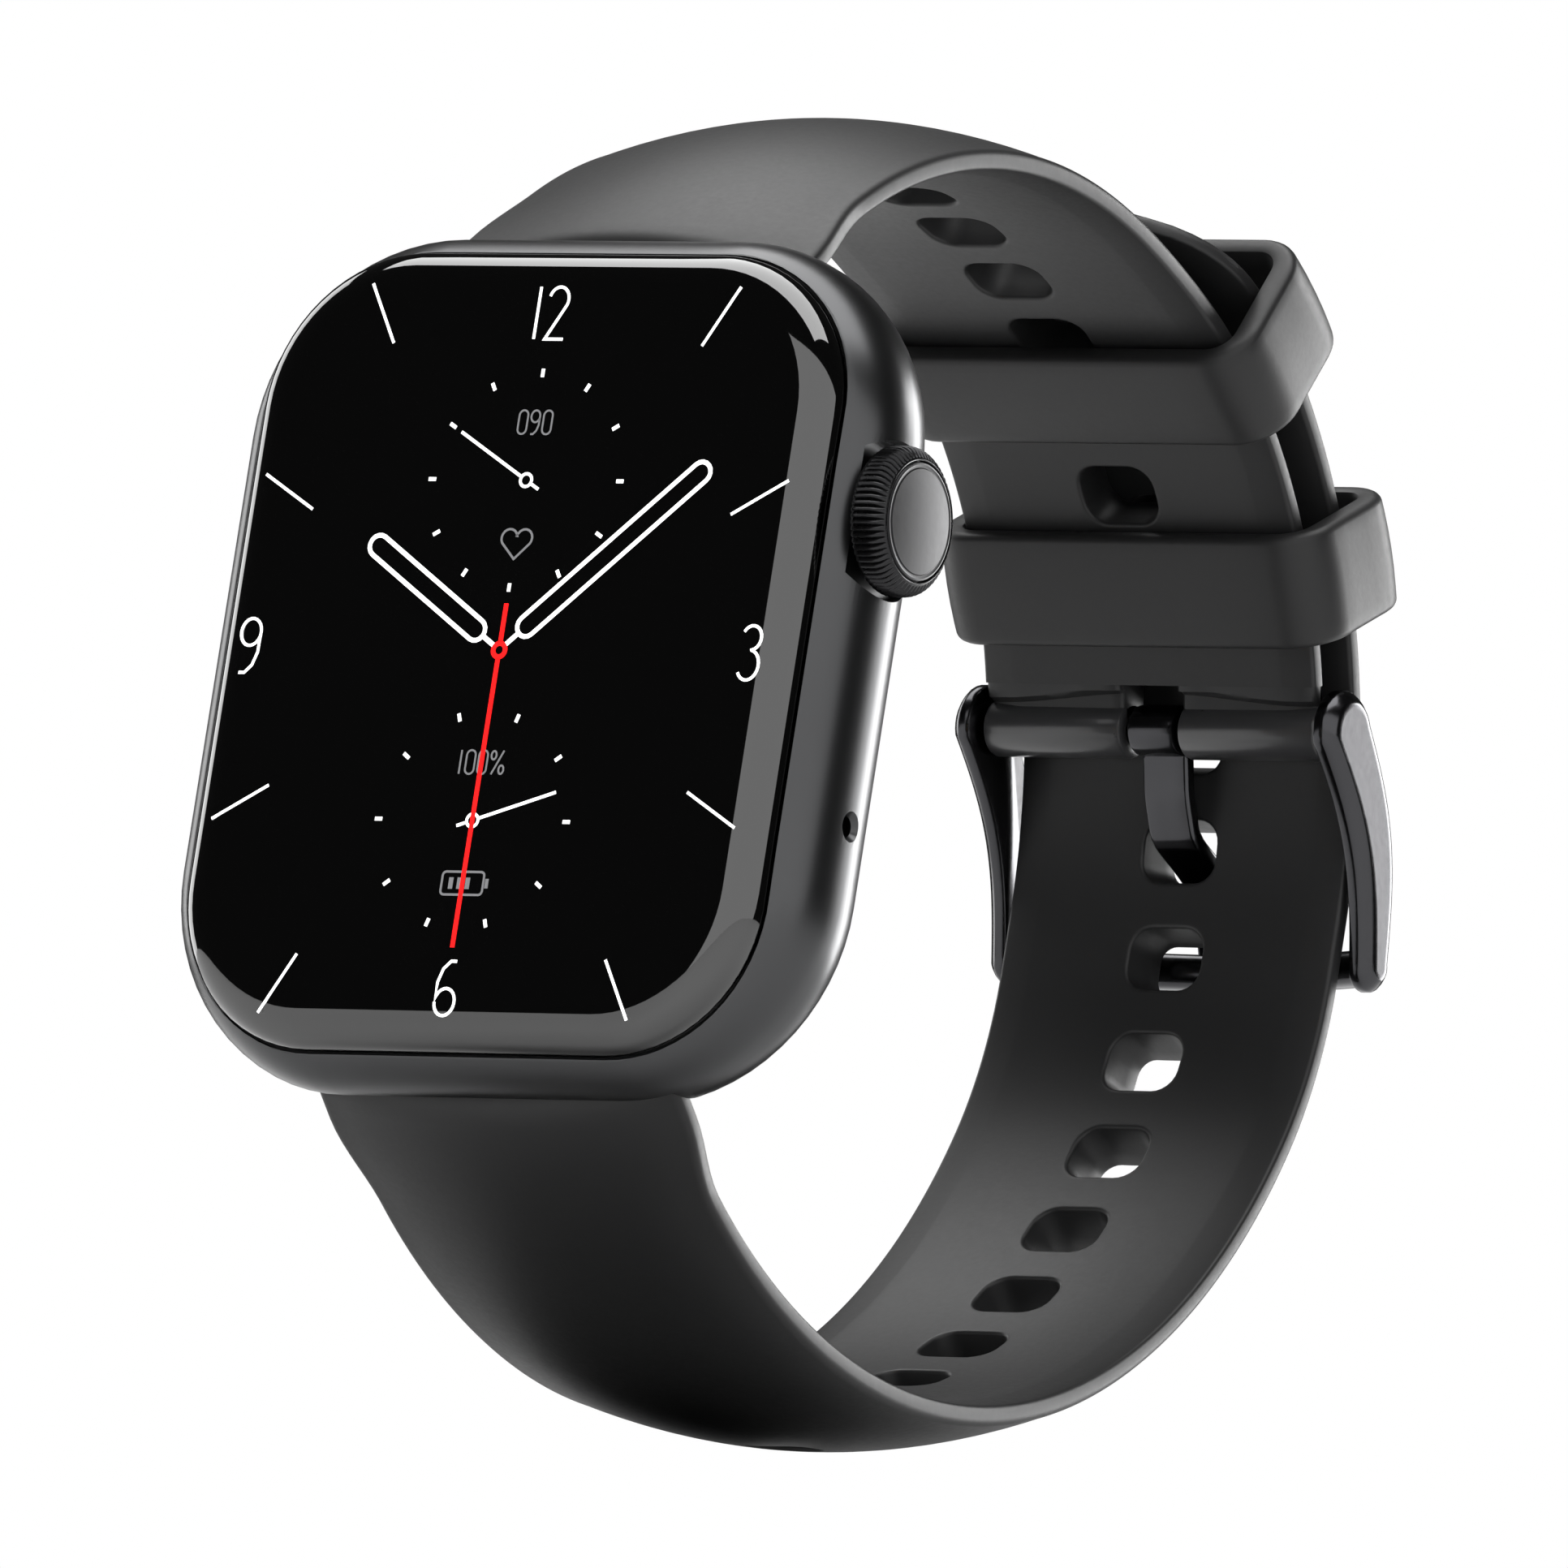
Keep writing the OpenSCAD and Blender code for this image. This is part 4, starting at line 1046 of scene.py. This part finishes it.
def strap_end(x0, x1):
    """The strap's end between two x positions: it thins toward the tube and wraps half round it."""
    end, t, n = UPPER.at(UPPER.length)
    rings = []
    steps = [(x0, 0.30), (x0 + 0.08, 0.12), (x0 + 0.28, 0.0)]
    steps += [(x0 + 0.28 + (x1 - x0 - 0.56) * i / 10, 0.0) for i in range(1, 10)]
    steps += [(x1 - 0.28, 0.0), (x1 - 0.08, 0.12), (x1, 0.30)]
    a_out = math.atan2(n[1], n[0])
    for x, inset in steps:
        top = upper.outer(UPPER.length, x) - inset
        low = upper.inner(UPPER.length, x) + inset
        dish = 0.55 * ease(1.15 - abs(x) / 8.0)
        ring = []
        for back, h in ((0.5, low), (-0.3, low + 0.02), (-0.75 + dish, low + 0.10),
                        (-1.05 + dish, low + 0.55)):
            q = end - back * t + h * n
            ring.append((x, q[0], q[1]))
        for i in range(0, 13):
            a = a_out - math.radians(150 - 100 * i / 12)
            q = PIN + (TUBE_R - 0.35 - inset) * np.array((math.cos(a), math.sin(a)))
            ring.append((x, q[0], q[1]))
        for back, h in ((-0.9, top - 0.05), (0.0, top), (0.5, top)):
            q = end - back * t + h * n
            ring.append((x, q[0], q[1]))
        rings.append(ring)
    return loft(rings)


upper_parts = together(body_mesh, lug(1), strap_end(-10.05, -1.75), strap_end(1.75, 10.05))
upper_obj = piece("strap_short", *upper_parts, STRAP, "watch", ["upper_strap"], sharp=38)
print("short strap faces:", len(upper_obj.data.polygons))

# %% [markdown]
# ## Pin tubes
# The end of the strap is moulded round two smooth tubes, one on each side of the tongue. The
# buckle's pin runs through them. They are a little glossier than the silicone.

# %% Pin tubes
def tube(x0, x1):
    profile = [(x0, 0.85), (x0, TUBE_R - 0.22), (x0 + 0.07, TUBE_R - 0.07), (x0 + 0.22, TUBE_R),
               (x1 - 0.22, TUBE_R), (x1 - 0.07, TUBE_R - 0.07), (x1, TUBE_R - 0.22), (x1, 0.85)]
    return loft(disc_rings(profile, 56, (0, PIN[0], PIN[1]), "x"), close=True)


TUBE = finish("satin_tube", (0.022, 0.022, 0.023), 0.30, tone=0.08, bump=0.02, coat=0.25)
piece("pin_tubes", *together(tube(-10.15, -1.75), tube(1.75, 10.15)), TUBE, "watch")

# %% Lower strap
TONGUE_HOLE = 82.516
lower = Strap(LOWER, tip=7.5)
HOLE_PITCH = 5.75
adjust = sorted(TONGUE_HOLE - HOLE_PITCH * i for i in range(-5, 10))
long_mesh = strap_mesh(lower, ROOT, LOWER.length - 0.25, adjust, HOLE_PITCH, taper=0.35)
lower_parts = together(long_mesh, lug(-1))
lower_obj = piece("strap_long", *lower_parts, STRAP, "watch", ["lower_strap"], sharp=38)
print("long strap faces:", len(lower_obj.data.polygons))

# %% [markdown]
# ## Keepers
# Two moulded loops hold the free end of the long strap down. Each is a rounded band: thin where
# it hugs the strap, crowned on the outside, with soft edges that the light follows.

# %% Keepers
C3 = np.array((25.042, 4.871))
K_HALF = 10.45
K_IN = 26.15
K_OUT = 33.4
WALL_X = 1.5
WALL_H = 1.3
K_LEN = 6.1


def keeper(name, angle, node):
    a = math.radians(angle)
    up = np.array((math.cos(a), math.sin(a)))
    along = np.array((-math.sin(a), math.cos(a)))
    mid = (K_IN + K_OUT) / 2
    half_h = (K_OUT - K_IN) / 2
    outer = rounded(K_HALF + WALL_X, half_h + WALL_H, 2.9, 10, 10, 4)
    inner = rounded(K_HALF, half_h, 1.3, 10, 10, 4)
    profile = []
    half_l = K_LEN / 2
    r = 0.42
    for deg in (0, 22, 45, 67, 90):
        b = math.radians(deg)
        profile.append((half_l - r + r * math.sin(b), 1.0, -r + r * math.cos(b)))
    profile = [(half_l - 0.95, 1.0, 0.0)] + profile
    profile.append((half_l, 0.25, 0.0))
    profile.append((half_l - 0.06, 0.06, 0.0))
    profile.append((half_l - 0.22, 0.0, 0.0))
    profile = [(0.0, 1.0, 0.0), (half_l * 0.35, 1.0, 0.0)] + profile + [(half_l * 0.4, 0.0, 0.0)]
    full = profile + [(-u, v, w) for u, v, w in reversed(profile[1:])]
    rings = []
    for u, v, w in full:
        ring = []
        for (ox, oh), (ix, ih) in zip(outer, inner):
            wall = math.hypot(ox - ix, oh - ih)
            crown = -0.16 * (u / half_l) ** 2 * v
            f = v + (w + crown) / wall
            x = ix + (ox - ix) * f
            h = ih + (oh - ih) * f
            q = C3 + (mid + h) * up + u * along
            ring.append((x, q[0], q[1]))
        rings.append(ring)
    return piece(name, *loft(rings, close=True), STRAP, node, [node], sharp=45)


keeper("keeper_near_buckle", 32.59, "keeper_lower")
keeper("keeper_near_case", 58.89, "keeper_upper")

# %% [markdown]
# ## Buckle
# The frame is one cast and polished piece: two curved side plates and a bar that arches over the
# long strap. The plates are thick enough to show a polished chamfer round a flat outer face.

# %% Buckle frame
BAR = np.array((57.895, 1.518))
BAR_R = 0.95
BAR_RISE = 1.9
PLATE_X = 10.45
PLATE_T = 1.3


def plate_outline(inset):
    along = (BAR - PIN) / np.linalg.norm(BAR - PIN)
    side = np.array((along[1], -along[0]))
    left = []
    right = []
    for i in range(1, 24):
        t = i / 24
        mid = PIN + t * (BAR - PIN) + 1.3 * math.sin(math.pi * t) * np.array((0.86, 0.5))
        half = 2.25 + (BAR_R + 0.35 - 2.25) * t - inset
        left.append(mid + half * side)
        right.append(mid - half * side)
    a0 = math.atan2(side[1], side[0])
    top = []
    end = []
    for i in range(0, 17):
        a = a0 + math.pi + math.pi * i / 16
        top.append(PIN + (2.25 - inset) * np.array((math.cos(a), math.sin(a))))
        b = a0 + math.pi * i / 16
        end.append(BAR + (BAR_R + 0.35 - inset) * np.array((math.cos(b), math.sin(b))))
    return top + left + end + right[::-1]


def side_plate(sign):
    levels = [(0.0, 0.25), (0.08, 0.08), (0.22, 0.0), (0.62, 0.0), (0.74, 0.05),
              (0.98, 0.26), (1.18, 0.50), (1.27, 0.62), (1.30, 0.78), (1.30, 0.95)]
    rings = [[(sign * (PLATE_X + dx), q[0], q[1]) for q in plate_outline(inset)]
             for dx, inset in levels]
    return loft(rings)


def bar_sweep():
    half = PLATE_X + PLATE_T / 2
    bend = (half * half + BAR_RISE * BAR_RISE) / (2 * BAR_RISE)
    span = math.asin(half / bend)
    rings = []
    for i in range(33):
        a = -span + 2 * span * i / 32
        x = bend * math.sin(a)
        y = BAR[0] + BAR_RISE - bend + bend * math.cos(a)
        out = np.array((math.sin(a), math.cos(a)))
        ring = []
        for k in range(24):
            b = 2 * math.pi * k / 24
            cb, sb = math.cos(b), math.sin(b)
            u = BAR_R * math.copysign(abs(cb) ** 0.8, cb)
            v = BAR_R * math.copysign(abs(sb) ** 0.8, sb)
            ring.append((x + u * out[0], y + u * out[1], BAR[1] + v))
        rings.append(ring)
    return loft(rings)


piece("buckle_loop", *together(side_plate(1), side_plate(-1), bar_sweep()), BUCKLE, "buckle",
      ["buckle_frame"], sharp=30)

# %% Buckle tongue
HOLE_Y = 55.324
TONGUE_Z = 6.918
BAR_OUT = 60.745
route = [PIN + (0.95, -1.1), (HOLE_Y - 1.75, TONGUE_Z + 2.5), (HOLE_Y - 0.5, TONGUE_Z + 0.5),
         (HOLE_Y + 3.35, TONGUE_Z - 0.75), (BAR_OUT + 0.47, BAR[1] + 1.4),
         (BAR_OUT + 0.47, BAR[1] - 0.7)]
route = [np.array(q, float) for q in route]
for _ in range(3):
    soft = [route[0]]
    for q, r in zip(route[:-1], route[1:]):
        soft += [q * 0.86 + r * 0.14, q * 0.14 + r * 0.86]
    route = soft + [route[-1]]
TONGUE_W = 2.8
blade = rounded(TONGUE_W / 2, 0.42, 0.26, 4, 3, 1)
rings = []
for i, q in enumerate(route):
    a = route[max(i - 1, 0)]
    b = route[min(i + 1, len(route) - 1)]
    t = (b - a) / np.linalg.norm(b - a)
    n = np.array((-t[1], t[0]))
    k = 1.0 if i < len(route) - 2 else 0.82
    rings.append([(x * k, *(q + n * h * k)) for x, h in blade])
eye_profile = [(-1.4, 0.80), (-1.4, 1.15), (-1.3, 1.3), (-1.1, 1.35),
               (1.1, 1.35), (1.3, 1.3), (1.4, 1.15), (1.4, 0.80)]
eye_rings = disc_rings(eye_profile, 40, (0, PIN[0], PIN[1]), "x")
piece("buckle_prong", *together(loft(rings), loft(eye_rings, close=True)), BUCKLE, "tongue",
      ["buckle_tongue"], sharp=35)
print("buckle made")

# %% [markdown]
# ## Which finish each new piece takes
# Each new piece takes its finish in the cell that makes it.

# %% [markdown]
# ## Parts that keep their machined shape
# The works, the seals and the back parts are right as they are in the imported model. They only
# need their own finish, which is given to each node here.

# %% Finishes of the carried parts
CARRIED = {
    "display_seal": SEAL, "display_panel": SCREEN, "mid_plate": STEEL, "main_board": BOARD,
    "board_screws": STEEL, "shield_can": STEEL, "processor": CHIP, "board_chips": CHIP,
    "battery": FOIL, "battery_flex": COPPER, "display_flex": COPPER, "haptic_case": STEEL,
    "haptic_mass": TUNGSTEN, "speaker": CHIP, "speaker_cone": SEAL, "speaker_mesh": MESH,
    "radio_module": STEEL, "microphone": BRASS, "microphone_mesh": MESH, "crown_bush": BRASS,
    "crown_stem": STEEL, "crown_seals": SEAL, "switch_body": CHIP, "switch_plunger": STEEL,
    "back_seal": SEAL, "back_cover": CERAMIC, "charge_coil": COPPER, "sensor_board": BOARD,
    "led_emitters": LED, "photodiodes": DIODE, "release_button_top": CASE,
    "release_button_bottom": CASE, "lug_latch_top": STEEL, "lug_latch_bottom": STEEL,
    "buckle_pin": BUCKLE, "sensor_window": WINDOW,
}
for name, mat in CARRIED.items():
    mesh = nodes[name].data
    mesh.materials.clear()
    mesh.materials.append(mat)
    print(name, "->", mat.name)
